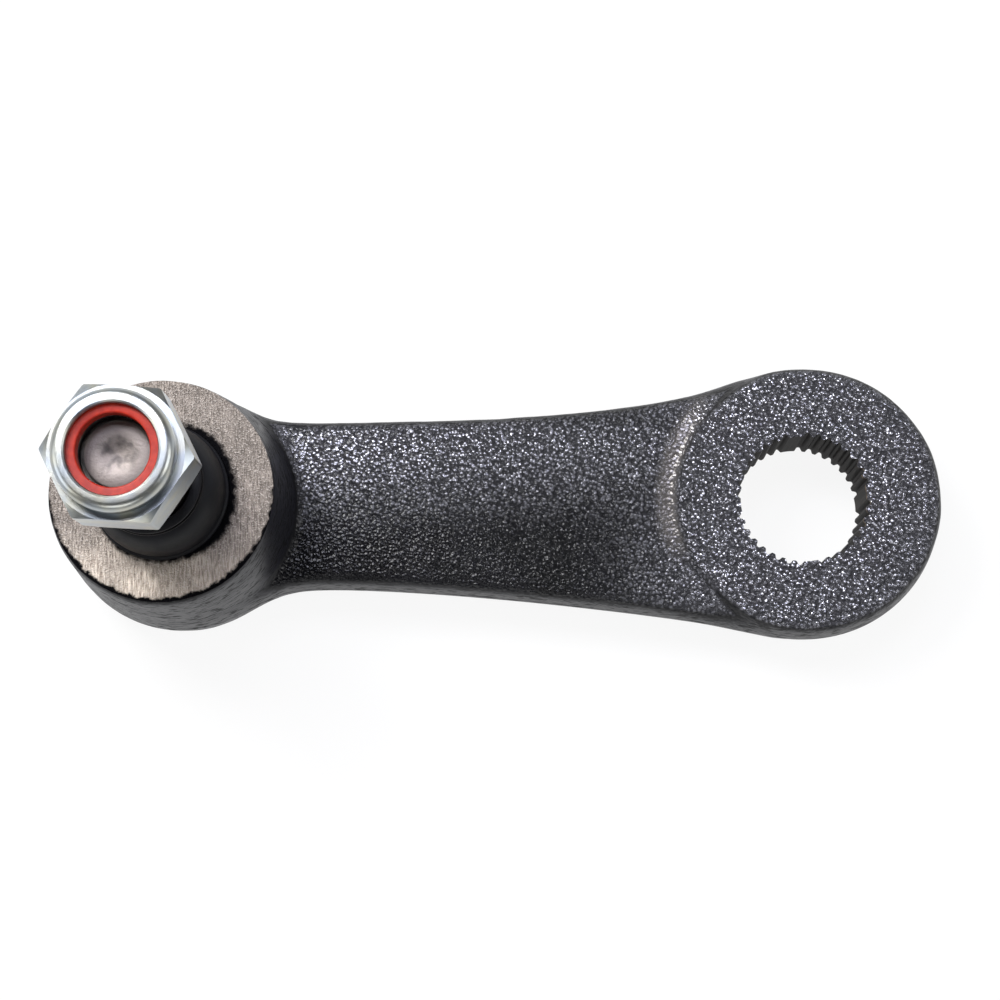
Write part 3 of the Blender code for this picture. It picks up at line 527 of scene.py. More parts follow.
def boot_rubber():
    """Moulded chloroprene: a bluish black with a dull gloss and a breath of mould release."""
    made, tree, place = begin_finish("moulded_black_rubber", IOR=1.3)
    fine = add(tree, "TexNoise", {"Vector": place, "Scale": 1 / (0.8 * MM), "Detail": 4.0})[0]
    cloud = add(tree, "TexNoise", {"Vector": place, "Scale": 1 / (6 * MM), "Detail": 3.0})[0]
    relief = add(tree, "Bump", {"Height": fine, "Distance": 0.03 * MM})[0]
    tone = tint(tree, "#05060a", "#0c0d13", (cloud, 0.35, 0.7))
    feed(tree, Base_Color=tone, Roughness=zone(tree, (cloud, 0.3, 0.7, 0.5, 0.62)), Normal=relief)
    return made


def turned_steel(name, pale, dark, roughness, line):
    """Turned steel: fine rings round the piece's axis."""
    made, tree, place = begin_finish(name, Metallic=1.0, Roughness=roughness)
    _, reach = off_axis(tree, place, STUD_X)
    height = add(tree, "SeparateXYZ", (place,))["Z"]
    along = add(tree, "CombineXYZ", {"X": reach, "Z": height})[0]
    rings = add(tree, "TexNoise", {"Vector": along, "Scale": 1 / line, "Detail": 3.0})[0]
    cloud = add(tree, "TexNoise", {"Vector": place, "Scale": 1 / (5 * MM), "Detail": 3.0})[0]
    relief = add(tree, "Bump", {"Height": rings, "Distance": 0.03 * MM})[0]
    feed(tree, Base_Color=tint(tree, dark, pale, (cloud, 0.3, 0.7)), Normal=relief)
    return made


def cropped_end():
    """The stud's cropped and faced end: warm grey with dark smudges round its centre."""
    made, tree, place = begin_finish("faced_stud_end", Metallic=1.0, Roughness=0.5)
    offset, reach = off_axis(tree, place, STUD_X)
    smudge = add(tree, "TexNoise", {"Vector": offset, "Scale": 1 / (2.6 * MM), "Detail": 1.5})[0]
    fine = add(tree, "TexNoise", {"Vector": place, "Scale": 1 / (0.5 * MM), "Detail": 4.0})[0]
    relief = add(tree, "Bump", {"Height": fine, "Distance": 0.05 * MM})[0]
    tone = tint(tree, "#78716d", "#2c2a2c", (smudge, 0.38, 0.68, 0.0, 0.75), (reach, 6.0 * MM, 2.0 * MM))
    feed(tree, Base_Color=tone, Normal=relief)
    return made


def seat_plastic():
    """Moulded acetal, an ivory white, greased."""
    made, tree, place = begin_finish("greased_acetal", Roughness=0.35, IOR=1.48)
    cloud = add(tree, "TexNoise", {"Vector": place, "Scale": 1 / (3 * MM), "Detail": 3.0})[0]
    relief = add(tree, "Bump", {"Height": cloud, "Distance": 0.05 * MM})[0]
    tone = add(tree, "Mix", {0: cloud, 6: "#d8cfb4", 7: "#e9e3cf"}, data_type="RGBA")[2]
    feed(tree, Base_Color=tone, Normal=relief)
    return made


# The forged arm. Its cage is the same as the solid's, and it is subdivided more finely.

def ring_points(centre_x, toward, half_open, radius, height):
    """Corners of one ring of a round end. height(to_web) gives the Z of a corner by its side."""
    back_step = (FULL_TURN - 2 * half_open) / (ROUND_SIDES - WEB_STEPS)
    angles = [half_open * (2 * i / WEB_STEPS - 1) for i in range(WEB_STEPS + 1)]
    angles += [half_open + back_step * i for i in range(1, ROUND_SIDES - WEB_STEPS)]
    points = []
    for i, angle in enumerate(angles):
        before = (angle - angles[i - 1]) % FULL_TURN
        after = (angles[(i + 1) % ROUND_SIDES] - angle) % FULL_TURN
        reach = toward * radius * 6 / (4 + math.cos(before) + math.cos(after))
        points.append((centre_x + reach * math.cos(angle), reach * math.sin(angle), height(i <= WEB_STEPS)))
    return points


def drafted(radius, z, draft):
    """A wall's radius at this height, from the one at the parting line."""
    return radius - abs(z - PARTING_Z) * math.tan(draft)


def place_ring(verts, points):
    """Puts the ring's corners on the points, each sorted by angle."""
    middle = sum((Vector(p) for p in points), Vector()) / len(points)
    own = sum((v.co for v in verts), Vector()) / len(verts)
    by_angle = sorted(verts, key=lambda v: math.atan2(v.co.y - own.y, v.co.x - own.x))
    for vert, point in zip(by_angle, sorted(points, key=lambda p: math.atan2(p[1], p[0] - middle.x))):
        vert.co = point


def round_end(name, rings):
    """A twelve-sided drum whose top is drawn up from ring to ring."""
    deselect_objects()
    bpy.ops.mesh.primitive_cylinder_add(vertices=ROUND_SIDES, radius=EYE_RADIUS, depth=EYE_THICKNESS)
    obj = begin(name)
    edit(True)
    choose(obj, "FACE", lambda face: face.normal.z > 0.9)
    mesh = bmesh.from_edit_mesh(obj.data)
    place_ring([v for v in mesh.verts if v.co.z < 0], rings[0])
    place_ring([v for v in mesh.verts if v.select], rings[1])
    for points in rings[2:]:
        bpy.ops.mesh.extrude_region_move()
        mesh = bmesh.from_edit_mesh(obj.data)
        place_ring([v for v in mesh.verts if v.select], points)
    bmesh.update_edit_mesh(obj.data)
    edit(False)
    return obj


def boss_cage():
    """The ball-joint housing, upright on its closed end."""

    def ring(z, inset=0.0):
        radius = drafted(BOSS_RADIUS, z, BOSS_DRAFT) - inset
        return ring_points(STUD_X, 1, BOSS_OPEN, radius, lambda _: z)

    def top(inset):
        return [(x, y, z + y * BOSS_TOP_SLOPE) for x, y, z in ring(FACE_Z + BOSS_STOCK, inset)]

    heights = (0.0, WEB_BOTTOM, PARTING_Z, WEB_TOP, WEB_TOP + WEB_FILLET, FACE_Z - BOSS_EDGE_DROP)
    walls = [ring(z) for z in heights]
    return round_end("boss_cage", [ring(0.0, UNDERSIDE_SUPPORT), *walls, top(0.0), top(BOSS_TOP_SUPPORT)])


def eye_cage():
    """The eye, with a shoulder that drops to the web where the two meet."""

    def ring(radius, open_z, web_z):
        return ring_points(EYE_X, -1, EYE_OPEN, radius, lambda to_web: web_z if to_web else open_z)

    shoulder_z = EYE_THICKNESS - EYE_SHOULDER
    shoulder = drafted(EYE_RADIUS, shoulder_z, DRAFT)
    corner = shoulder - EYE_CORNER_SETBACK
    support = corner - UNDERSIDE_SUPPORT
    return round_end(
        "eye_cage",
        [
            ring(support, 0.0, 0.0),
            ring(corner, 0.0, 0.0),
            ring(shoulder, EYE_SHOULDER, WEB_BOTTOM),
            ring(EYE_RADIUS, PARTING_Z, PARTING_Z),
            ring(shoulder, shoulder_z, WEB_TOP),
            ring(corner, EYE_THICKNESS, EYE_THICKNESS),
            ring(support, EYE_THICKNESS, EYE_THICKNESS),
        ],
    )


def web_edge(x, side):
    """Y of the web's edge at the parting line."""
    start = STUD_X + BOSS_RADIUS
    end = EYE_X - EYE_RADIUS * math.cos(EYE_OPEN)
    share = min(max((x - start) / (end - start), 0.0), 1.0)
    half = WEB_HALF_LEFT if side > 0 else WEB_HALF_RIGHT
    sweep = WEB_SWEEP_LEFT if side > 0 else WEB_SWEEP_RIGHT
    aim = EYE_RADIUS * math.sin(EYE_OPEN) + WEB_END_FLARE
    return math.copysign(half + (aim - half) * share**sweep, side)


def web_point(start, end, share):
    """Place of a corner of the web's section, a share of the way from the boss to the eye."""
    x = start.x + (end.x - start.x) * share
    across = start.y / (BOSS_RADIUS * 3 / (2 + math.cos(FULL_TURN / ROUND_SIDES)) * math.sin(BOSS_OPEN))
    from_parting = start.z - PARTING_Z
    off_parting = abs(from_parting) > WEB_THICKNESS / 4
    crown = math.copysign(WEB_CROWN, from_parting) if off_parting and abs(across) < 2 / 3 else 0.0
    half = abs(web_edge(x, across)) - abs(from_parting) * math.tan(DRAFT)
    return Vector((x, across * half, start.z + crown))


def section_distance(start, end):
    """How far apart two corners lie in the web's section, the boss's and the eye's."""
    height = abs(start.z - end.z) / WEB_THICKNESS
    at_boss = start.y / (BOSS_RADIUS * math.sin(BOSS_OPEN))
    at_eye = end.y / (EYE_RADIUS * math.sin(EYE_OPEN))
    return height + abs(at_boss - at_eye)


def is_creased(edge):
    """Whether this is a piece of the web's four long edges, or of the soft ridges above them.

    The ridges go on up the boss and in over its top, but not round its rim.
    """
    a, b = (v.co for v in edge.verts)
    on_web = min(a.x, b.x) > STUD_X + BOSS_RADIUS / 2 and max(a.x, b.x) < BORE_X - EYE_RADIUS / 2
    at_side = min(abs(a.y), abs(b.y)) > WEB_HALF_RIGHT * 2 / 3
    off_parting = min(abs(a.z - PARTING_Z), abs(b.z - PARTING_Z)) > WEB_THICKNESS / 4
    along = abs(a.x - b.x) > 2 * abs(a.y - b.y)
    over_rim = (a.z < FACE_Z) != (b.z < FACE_Z)
    above = min(a.z, b.z) > WEB_TOP + WEB_FILLET / 2 and not over_rim
    return on_web and at_side and off_parting and (along or above)


def faces_web(face):
    """Whether the web takes this face's place on one of the round ends."""
    middle = face.calc_center_median()
    at_boss = STUD_X + BOSS_RADIUS * math.cos(BOSS_OPEN) < middle.x < 0
    at_eye = 0 < middle.x < EYE_X - EYE_RADIUS * math.cos(EYE_OPEN)
    return WEB_BOTTOM < middle.z < WEB_TOP and (at_boss or at_eye) and len(face.verts) == 4


def draw_web(obj):
    """Draws the web out of the boss's hole, row by row, and bridges it to the eye's."""
    choose(obj, "FACE", faces_web)
    bpy.ops.mesh.delete(type="FACE")
    choose(obj, "EDGE", lambda edge: edge.is_boundary and edge.verts[0].co.x < 0)
    mesh = bmesh.from_edit_mesh(obj.data)
    ends = [v.co.copy() for v in mesh.verts if v.is_boundary and v.co.x > 0]
    row = []
    for vert in mesh.verts:
        if vert.select:
            end = min(ends, key=lambda e: section_distance(vert.co, e))
            row.append((vert.co.copy(), vert.co.copy(), end))
    for share in WEB_ROWS:
        bpy.ops.mesh.extrude_edges_move()
        mesh = bmesh.from_edit_mesh(obj.data)
        moved = []
        for vert in mesh.verts:
            if vert.select:
                _, start, end = min(row, key=lambda entry: (entry[0] - vert.co).length)
                vert.co = web_point(start, end, share)
                moved.append((vert.co.copy(), start, end))
        row = moved
        bmesh.update_edit_mesh(obj.data)
    choose(obj, "EDGE", lambda edge: edge.is_boundary)
    bpy.ops.mesh.bridge_edge_loops()
    choose(obj, "EDGE", is_creased)
    bpy.ops.transform.edge_crease(value=WEB_EDGE_SHARPNESS)
    bpy.ops.mesh.select_all(action="SELECT")
    bpy.ops.mesh.normals_make_consistent(inside=False)


def roughen(obj):
    """Sinks the skin unevenly, all but the scar where the flash was trimmed off the parting line."""
    normals = [vert.normal.copy() for vert in obj.data.vertices]
    for vert, normal in zip(obj.data.vertices, normals):
        place = vert.co / (7.0 * MM)
        wave = 0.5 + 0.5 * noise.noise(place) + 0.18 * noise.noise(place * 3.1)
        wall = 1.0 - soft_step(abs(normal.z), 0.35, 0.7)
        scar = wall * (1.0 - soft_step(abs(vert.co.z - PARTING_Z), FLASH_SCAR, FLASH_SCAR * 1.6))
        vert.co -= normal * SKIN_UNEVENNESS * max(wave, 0.0) * (1.0 - scar)


def face_boss():
    """Faces the active piece off at the boss's height."""
    edit(True)
    bpy.ops.mesh.select_all(action="SELECT")
    bpy.ops.mesh.bisect(
        plane_co=(0, 0, FACE_Z), plane_no=(0, 0, 1), use_fill=True, clear_outer=True, threshold=WELD / 2
    )
    edit(False)


def mouth_radius(rise):
    """How wide the socket's mouth is at this height above the ball's centre."""
    return NECK_RADIUS / math.cos(STUD_TILT) + rise * math.tan(STUD_TILT) + MOUTH_CLEARANCE


def mouth_angle(radius):
    """Where the mouth's cone leaves a cavity of this radius, found by closing in on it."""
    rise = radius
    for _ in range(30):
        rise = math.sqrt(radius**2 - mouth_radius(rise) ** 2)
    return math.atan2(mouth_radius(rise), rise)


def socket_cutter():
    """What the lathe takes out of the housing: counterbore, mouth, ball cavity and the cover's recess."""
    over = 2.0 * MM
    counterbore_z = FACE_Z - COUNTERBORE_DEPTH
    lip = RECESS_RADIUS - STAKE_OVERLAP
    outline = [
        (0.0, FACE_Z + over),
        (COUNTERBORE_RADIUS, FACE_Z + over),
        (COUNTERBORE_RADIUS, counterbore_z),
        (mouth_radius(counterbore_z - BALL_Z), counterbore_z),
        *arc(CAVITY_RADIUS, mouth_angle(CAVITY_RADIUS), math.pi / 2, 12, 0.0, BALL_Z),
        (CAVITY_RADIUS, RECESS_TOP),
        (RECESS_RADIUS, RECESS_TOP),
        (RECESS_RADIUS, STAKE_HEIGHT),
        (lip, STAKE_HEIGHT - STAKE_OVERLAP / 2),
        *arc(STAKE_EDGE, -math.pi / 2, -math.pi, 4, lip + STAKE_EDGE, 2 * STAKE_EDGE),
        (lip + STAKE_EDGE, 0.0),
        (lip + over, -over),
        (0.0, -over),
    ]
    return turned("socket_cutter", outline)


def spline_reach(angle):
    """Radius of the broached bore at this angle: rounded grooves, left out at the blind ribs."""
    place = (angle - SPLINE_CLOCKING) / FULL_TURN * SPLINE_PITCHES
    tip = SPLINE_MAJOR_RADIUS - SPLINE_DEPTH
    if round(place) % (SPLINE_PITCHES // SPLINE_BLINDS) == 0:
        return tip
    from_root = abs(place - round(place)) * 2
    return SPLINE_MAJOR_RADIUS - SPLINE_DEPTH * soft_step(from_root, 0.16, 0.76)


def spline_cutter():
    """The broach: a drum whose side is drawn in to the serrations."""
    deselect_objects()
    over = 1.0 * MM
    bpy.ops.mesh.primitive_cylinder_add(
        vertices=SPLINE_PITCHES * SPLINE_FACETS,
        radius=SPLINE_MAJOR_RADIUS,
        depth=EYE_THICKNESS + 2 * over,
        location=(BORE_X, 0.0, PARTING_Z),
    )
    obj = begin("spline_cutter")
    bpy.ops.object.transform_apply(location=True)
    for vert in obj.data.vertices:
        angle = math.atan2(vert.co.y, vert.co.x - BORE_X) % FULL_TURN
        reach = spline_reach(angle)
        vert.co.x = BORE_X + reach * math.cos(angle)
        vert.co.y = reach * math.sin(angle)
    return obj


def forged_arm(skin, ground, bored, broached):
    """The housing, the web and the eye in one forging, with its machined face, socket and bore."""
    boss = boss_cage()
    eye = eye_cage()
    pick(boss, eye)
    bpy.ops.object.join()
    arm = begin("forged_arm")
    edit(True)
    draw_web(arm)
    edit(False)
    apply_modifier(arm, "SUBSURF", levels=FORGING_LEVELS, render_levels=FORGING_LEVELS)
    roughen(arm)
    face_boss()
    carve(arm, "DIFFERENCE", socket_cutter())
    carve(arm, "DIFFERENCE", spline_cutter())
    on_skin, on_face, in_socket, in_bore = range(4)

    def choice(polygon):
        from_stud = math.hypot(polygon.center.x - STUD_X, polygon.center.y)
        from_bore = math.hypot(polygon.center.x - BORE_X, polygon.center.y)
        if polygon.center.z > FACE_Z - SLACK:
            return on_face
        if from_stud < RECESS_RADIUS - STAKE_OVERLAP + STAKE_EDGE / 2:
            return in_socket
        if from_stud < RECESS_RADIUS + SLACK and polygon.center.z > STAKE_EDGE:
            return in_socket
        if from_bore < SPLINE_MAJOR_RADIUS + SLACK and abs(polygon.normal.z) < 0.5:
            return in_bore
        return on_skin

    assign(arm, [skin, ground, bored, broached], choice)
    smooth(arm, 34.0)
    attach(arm, "arm")
    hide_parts("arm_forging")
    return arm


# The stud, its nut and the boot

def stud(steel, end_finish):
    """The ball stud, with its rolled thread."""
    rows = 8  # of the thread's pitch
    count = round((STUD_END_Z - TAPER_END_Z) / THREAD_PITCH * rows)
    step = (STUD_END_Z - THREAD_CHAMFER - TAPER_END_Z) / count
    thread = [(THREAD_RADIUS, STUD_END_Z - THREAD_CHAMFER - step * i) for i in range(1, count)]
    shoulder = TAPER_RADIUS - 0.5 * MM
    shoulder_z = TAPER_Z - 1.0 * MM
    neck_turns = [math.pi / 2 * i / 5 for i in (4, 3, 2, 1, 0)]
    neck_angle = math.asin(NECK_RADIUS / BALL_RADIUS)
    foot_radius = 5.5 * MM  # of the flat under the ball
    foot_angle = math.pi - math.asin(foot_radius / BALL_RADIUS)
    outline = [
        (0.0, STUD_END_Z - 0.75 * MM),
        (0.9 * MM, STUD_END_Z - 0.7 * MM),
        (2.3 * MM, STUD_END_Z - 0.35 * MM),
        (3.6 * MM, STUD_END_Z - 0.1 * MM),
        (4.6 * MM, STUD_END_Z),
        (THREAD_RADIUS - THREAD_CHAMFER - 0.2 * MM, STUD_END_Z),
        (THREAD_RADIUS - THREAD_CHAMFER, STUD_END_Z - 0.06 * MM),
        (THREAD_RADIUS, STUD_END_Z - THREAD_CHAMFER),
        *thread,
        (THREAD_RADIUS, TAPER_END_Z + 0.4 * MM),
        (THREAD_RADIUS - 0.25 * MM, TAPER_END_Z + 0.2 * MM),
        (TAPER_END_RADIUS - 0.25 * MM, TAPER_END_Z),
        (TAPER_END_RADIUS, TAPER_END_Z - 0.35 * MM),
        (TAPER_RADIUS, TAPER_Z + 0.3 * MM),
        (TAPER_RADIUS - 0.12 * MM, TAPER_Z),
        (shoulder, shoulder_z),
        *[
            (
                NECK_RADIUS + (shoulder - NECK_RADIUS) * (1 - math.cos(turn)),
                NECK_TOP_Z + (shoulder_z - NECK_TOP_Z) * math.sin(turn),
            )
            for turn in neck_turns
        ],
        *arc(BALL_RADIUS, neck_angle, foot_angle, 28, 0.0, BALL_Z),
        (0.0, BALL_Z + BALL_RADIUS * math.cos(foot_angle)),
    ]
    obj = turned("threaded_ball_stud", outline, STUD_SIDES)
    for vert in obj.data.vertices:
        x, y, z = vert.co.x - STUD_X, vert.co.y, vert.co.z
        if TAPER_END_Z < z < STUD_END_Z - 0.1 * MM and math.hypot(x, y) > THREAD_RADIUS - 0.3 * MM:
            turn = math.atan2(y, x) / FULL_TURN
            phase = abs((z / THREAD_PITCH - turn) % 1.0 - 0.5) * 2
            fade = soft_step(z, TAPER_END_Z + 0.3 * MM, TAPER_END_Z + THREAD_PITCH)
            depth = THREAD_DEPTH * fade * min(max(1.12 * phase - 0.06, 0.0), 0.95)
            radius = math.hypot(x, y)
            keep = max(radius - depth, THREAD_RADIUS - THREAD_DEPTH) / radius
            vert.co.x = STUD_X + x * keep
            vert.co.y = y * keep

    def choice(polygon):
        return 1 if polygon.center.z > STUD_END_Z - THREAD_CHAMFER * 0.9 else 0

    assign(obj, [steel, end_finish], choice)
    smooth(obj, 40.0)
    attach(obj, "stud")
    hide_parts("ball_stud")
    return obj


def lock_nut(zinc):
    """A cold-formed hexagon with a collar rolled over the insert."""
    deselect_objects()
    bpy.ops.mesh.primitive_cylinder_add(
        vertices=6,
        radius=NUT_FLATS / math.sqrt(3),
        depth=HEX_HEIGHT,
        location=(STUD_X, 0.0, NUT_Z + HEX_HEIGHT / 2),
        rotation=(0.0, 0.0, NUT_CLOCKING - math.pi / 2),  # from the corner that is made on +Y
    )
    nut = begin("zinc_lock_nut")
    bpy.ops.object.transform_apply(location=True, rotation=True)
    edit(True)
    choose(nut, "EDGE", lambda edge: abs(edge.verts[0].co.z - edge.verts[1].co.z) > HEX_HEIGHT / 2)
    bpy.ops.mesh.bevel(offset=0.35 * MM, segments=3)
    edit(False)
    over = 0.5 * MM
    slope = math.tan(math.radians(30))
    reach = NUT_FLATS / math.sqrt(3) + over
    drop = (reach - HEX_CHAMFER_RADIUS) * slope
    chamfer = [
        (0.0, COLLAR_Z + over),
        (HEX_CHAMFER_RADIUS - over / slope, COLLAR_Z + over),
        (reach, COLLAR_Z - drop),
        (reach, NUT_Z + drop),
        (HEX_CHAMFER_RADIUS - over / slope, NUT_Z - over),
        (0.0, NUT_Z - over),
    ]
    carve(nut, "INTERSECT", turned("hex_chamfer", chamfer, NUT_SIDES))
    groove = 0.35 * MM
    collar = [
        (0.0, NUT_TOP),
        (RIM_RADIUS + 0.5 * MM, NUT_TOP),
        *arc(COLLAR_ROUND, 0.05, math.pi / 2, 9, COLLAR_RADIUS - COLLAR_ROUND, NUT_TOP - COLLAR_ROUND),
        (COLLAR_RADIUS, COLLAR_Z + 1.2 * MM),
        (COLLAR_RADIUS - groove, COLLAR_Z + 0.4 * MM),
        (COLLAR_RADIUS - groove, COLLAR_Z - HEX_HEIGHT / 2),
        (0.0, COLLAR_Z - HEX_HEIGHT / 2),
    ]
    carve(nut, "UNION", turned("nut_collar", collar, NUT_SIDES))
    hole = THREAD_RADIUS + 0.3 * MM
    seat = COLLAR_RADIUS - COLLAR_WALL
    bore = [
        (0.0, NUT_TOP + over),
        (RIM_RADIUS + 0.9 * MM, NUT_TOP + over),
        (RIM_RADIUS + 0.55 * MM, NUT_TOP - 0.03 * MM),
        (RIM_RADIUS + 0.2 * MM, NUT_TOP - 0.2 * MM),
        (RIM_RADIUS, NUT_TOP - 0.55 * MM),
        (RIM_RADIUS, NUT_TOP - RIM_THICKNESS),
        (seat, NUT_TOP - RIM_THICKNESS),
        (seat, COLLAR_Z),
        (hole, COLLAR_Z),
        (hole, NUT_Z + 0.8 * MM),
        (hole + 0.8 * MM + over, NUT_Z - over),
        (0.0, NUT_Z - over),
    ]
    carve(nut, "DIFFERENCE", turned("nut_bore", bore, NUT_SIDES))
    assign(nut, [zinc])
    smooth(nut, 28.0)
    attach(nut, "stud")
    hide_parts("lock_nut")
    return nut


def nylon_ring(nylon):
    """The insert, whose inner edge is rounded at the top."""
    outer = (insert_high.x - insert_low.x) / 2
    inner = 7.65 * MM
    top, bottom = insert_high.z, insert_low.z
    edge = 0.45 * MM
    outline = [
        (outer, top),
        (outer, bottom),
        (inner + edge, bottom),
        (inner, bottom + edge),
        *arc(edge, -math.pi / 2, 0.0, 5, inner + edge, top - edge),
    ]
    ring = turned("nylon_ring", outline)
    assign(ring, [nylon])
    smooth(ring, 40.0)
    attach(ring, "stud")
    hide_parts("nylon_insert")
    return ring


def boot(rubber):
    """The moulded boot, from its foot on the arm to its neck on the stud."""
    foot = 15.0 * MM
    lip = (boot_high.x - boot_low.x) / 2
    side = 15.1 * MM
    wall = 1.6 * MM
    neck_inner = TAPER_RADIUS + 0.3 * MM
    neck_outer = neck_inner + 1.3 * MM
    bead = neck_outer + 0.9 * MM
    lip_bottom = FACE_Z + 0.3 * MM
    side_z = FACE_Z + 4.0 * MM
    rise = 11.0 * MM
    neck_top = boot_high.z
    steps = 18
    outer_dome = []
    inner_dome = []
    for i in range(steps + 1):
        turn = math.radians(86.0) * (1 - i / steps)
        reach = neck_outer + (side - neck_outer) * math.cos(turn)
        outer_dome.append((reach, side_z + rise * math.sin(turn)))
        inner_dome.append((max(neck_inner, reach - wall), side_z + (rise - wall) * math.sin(turn)))
    lip_round = 0.3 * MM
    outline = [
        (bead - 0.25 * MM, neck_top),
        (bead, neck_top - 0.25 * MM),
        (bead, neck_top - 0.95 * MM),
        (bead - 0.25 * MM, neck_top - 1.2 * MM),
        (neck_outer, neck_top - 1.6 * MM),
        *outer_dome,
        (side, FACE_Z + 2.6 * MM),
        (side - 0.05 * MM, FACE_Z + 1.7 * MM),
        (side + 0.15 * MM, FACE_Z + 1.35 * MM),
        *arc(lip_round, 0.2, math.pi / 2, 3, lip - lip_round, lip_bottom + 1.0 * MM - lip_round),
        (lip, lip_bottom),
        (foot, lip_bottom),
        (foot, boot_low.z),
        (foot - wall, boot_low.z),
        (foot - wall, lip_bottom + 1.0 * MM),
        *reversed(inner_dome),
        (neck_inner, neck_top - 0.2 * MM),
        (neck_inner + 0.2 * MM, neck_top),
    ]
    obj = turned("rubber_boot", outline)
    assign(obj, [rubber])
    smooth(obj, 50.0)
    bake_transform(obj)
    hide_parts("dust_boot")
    return obj


def neck_ring(steel):
    """A ring of round wire that holds the boot's neck."""
    wire = (neck_ring_high.z - neck_ring_low.z) / 2
    middle = (neck_ring_high.x - neck_ring_low.x) / 2 - wire
    height = (neck_ring_high.z + neck_ring_low.z) / 2
    outline = arc(wire, 0.0, FULL_TURN * 11 / 12, 11, middle, height)
    ring = turned("neck_wire_ring", outline)
    assign(ring, [steel])
    smooth(ring, 60.0)
    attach(ring, "boot_neck")
    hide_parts("boot_neck_ring")
    return ring


def cover(steel):
    """The pressed cover, with a rounded dish."""
    radius = (cover_high.x - cover_low.x) / 2
    dish = 10.8 * MM
    deep = 0.8 * MM
    top, bottom = cover_high.z, cover_low.z + deep
    steps = 6
    bend = [
        (dish + deep * (1.5 - 2 * i / steps), bottom - deep * (0.5 - 0.5 * math.cos(math.pi * i / steps)))
        for i in range(steps + 1)
    ]
    outline = [
        (0.0, top - deep),
        (dish, top - deep),
        (dish + deep, top),
        (radius - 0.2 * MM, top),
        (radius, top - 0.2 * MM),
        (radius, bottom + 0.3 * MM),
        (radius - 0.3 * MM, bottom),
        *bend,
        (0.0, bottom - deep),
    ]
    plate = turned("pressed_cover", outline)
    assign(plate, [steel])
    smooth(plate, 25.0)
    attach(plate, "arm")
    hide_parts("end_cover")
    return plate


def dress_hidden_nodes(plastic, steel):
    """The pieces closed inside keep the solids' shapes."""
    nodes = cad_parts
    for name in ("upper_bearing", "lower_bearing"):
        assign(nodes[name], [plastic])
    for name in ("preload_spring", "boot_base_ring"):
        assign(nodes[name], [steel])


# Table, light and camera

TABLE_WHITE = 0.9  # share of the table's look that no shadow darkens


def table():
    """A white table that keeps a pale shadow of the arm, for the camera and in what the metal mirrors."""
    made, tree, _ = begin_finish("white_table", Base_Color=linear("#f4f4f4"), Roughness=0.9, IOR=1.3)
    paint = tree.nodes["Principled BSDF"].outputs[0]
    glow = add(tree, "Emission", {"Color": "#ffffff", "Strength": 1.0})[0]
    rays = add(tree, "LightPath")
    seen = rays["Is Camera Ray"]
    for kind in ("Is Glossy Ray", "Is Transmission Ray"):
        seen = add(tree, "Math", (seen, rays[kind]), operation="MAXIMUM")[0]
    share = add(tree, "Math", (seen, TABLE_WHITE), operation="MULTIPLY")[0]
    surface = add(tree, "MixShader", (share, paint, glow))[0]
    tree.links.new(surface, tree.nodes["Material Output"].inputs["Surface"])
    deselect_objects()
    bpy.ops.mesh.primitive_plane_add(size=8.0)
    obj = begin("table")
    assign(obj, [made])


def lamp(name, place, size, power, colour="#ffffff"):
    """A soft rectangular lamp, turned to the middle of the arm's foot."""
    light = bpy.data.lights.new(name, "AREA")
    light.shape = "RECTANGLE"
    light.size, light.size_y = size
    light.energy = power
    light.color = linear(colour)[:3]
    obj = bpy.data.objects.new(name, light)
    bpy.context.scene.collection.objects.link(obj)
    obj.location = place
    obj.rotation_euler = (-Vector(place)).to_track_quat("-Z", "Y").to_euler()


def room():
    """Pale walls round a dark ceiling, as a table-top studio has."""
    world = bpy.data.worlds.new("studio")
    bpy.context.scene.world = world
    world.use_nodes = True
    tree = world.node_tree
    tree.nodes.clear()
    height = add(tree, "SeparateXYZ", (add(tree, "TexCoord")["Generated"],))["Z"]
    tone = tint(tree, "#b4b6ba", "#2c2d31", (height, 0.1, 0.6))
    around = add(tree, "Background", {"Color": tone, "Strength": 0.9})[0]
    add(tree, "OutputWorld", {"Surface": around})


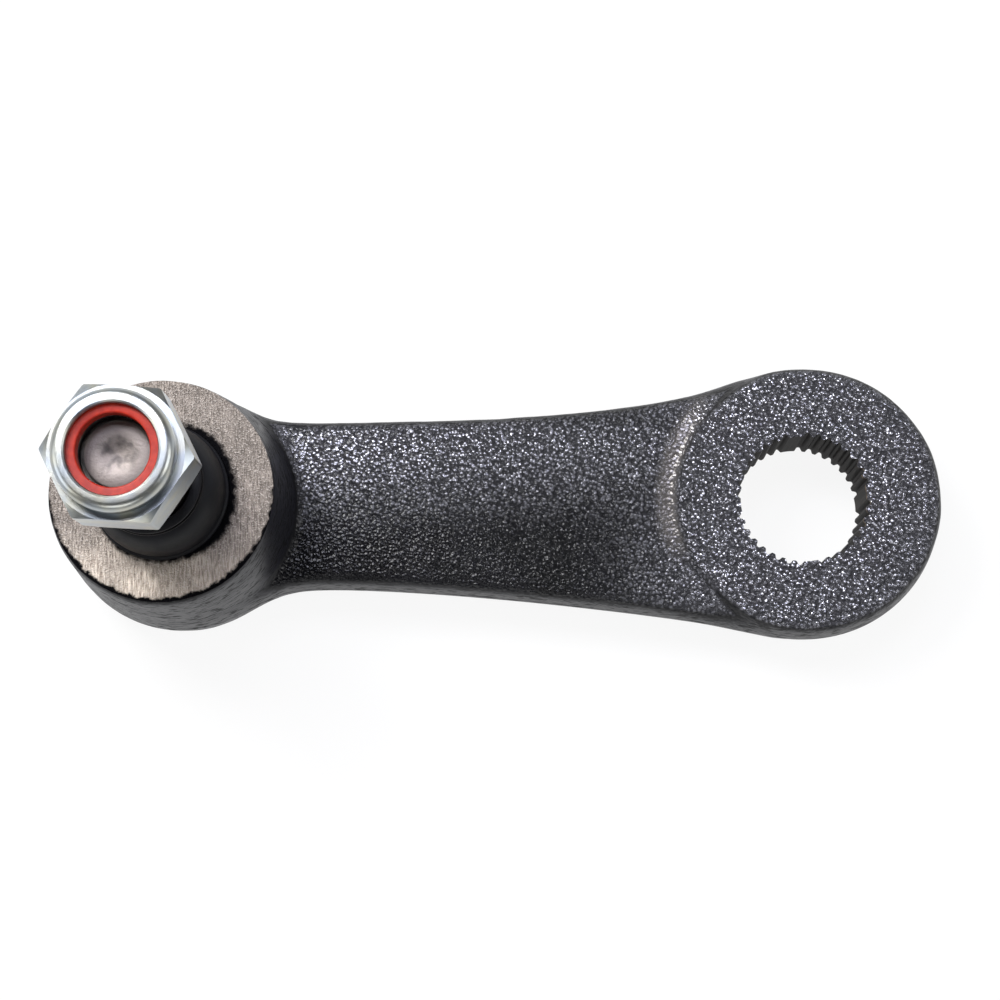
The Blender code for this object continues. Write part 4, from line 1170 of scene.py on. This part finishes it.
def lights():
    """Two softboxes over the +Y side, and three cards that the nut and the skin mirror."""
    lamp("key_softbox", (-0.38, 0.42, 0.70), (0.34, 0.34), 9.0)
    lamp("top_softbox", (-0.03, 0.34, 0.88), (0.41, 0.26), 4.2, "#eceeff")
    lamp("left_card", (-0.60, -0.10, 0.40), (0.40, 0.40), 1.2)
    lamp("right_card", (0.48, -0.05, 0.52), (0.30, 0.40), 1.3)
    lamp("front_card", (-0.10, -0.55, 0.50), (0.40, 0.25), 0.8)


# The camera stands over the table on the -Y side of the arm, and looks down a little towards +Y
CAMERA_PLACE = Vector((11.75, -78.3, 595.9)) * MM
CAMERA_BACK = Vector((0.0200, -0.1361, 0.9905))  # from the picture's middle to the lens
CAMERA_UP = Vector((0.0109, 0.9907, 0.1359))
CAMERA_LENS = 87.81  # millimetres, on the sensor below
CAMERA_SENSOR = 36.0


def camera():
    """The camera at the photograph's place and angle."""
    side = CAMERA_UP.cross(CAMERA_BACK).normalized()
    back = CAMERA_BACK.normalized()
    data = bpy.data.cameras.new("camera")
    data.sensor_width = CAMERA_SENSOR
    data.lens = CAMERA_LENS
    data.clip_start = 0.01
    obj = bpy.data.objects.new("camera", data)
    bpy.context.scene.collection.objects.link(obj)
    turn = Matrix((side, back.cross(side), back)).transposed()
    obj.matrix_world = Matrix.Translation(CAMERA_PLACE) @ turn.to_4x4()
    bpy.context.scene.camera = obj


bpy.context.scene.view_settings.view_transform = "Standard"
camera()
room()
lights()
table()

bright_steel = turned_steel("turned_stud_steel", "#b9b4ae", "#948e88", 0.3, 0.3 * MM)
spring_steel = turned_steel("spring_steel", "#8e8a86", "#6d6966", 0.35, 0.3 * MM)
forged_arm(forged_skin(), ground_face(), bored_steel(), broached_steel())
cover(turned_steel("pressed_cover_steel", "#57565a", "#3a393d", 0.42, 0.5 * MM))
stud(bright_steel, cropped_end())
lock_nut(zinc_plate())
nylon_ring(red_nylon())
boot(boot_rubber())
neck_ring(turned_steel("blackened_wire", "#1d1c1d", "#121213", 0.45, 0.3 * MM))
dress_hidden_nodes(seat_plastic(), spring_steel)
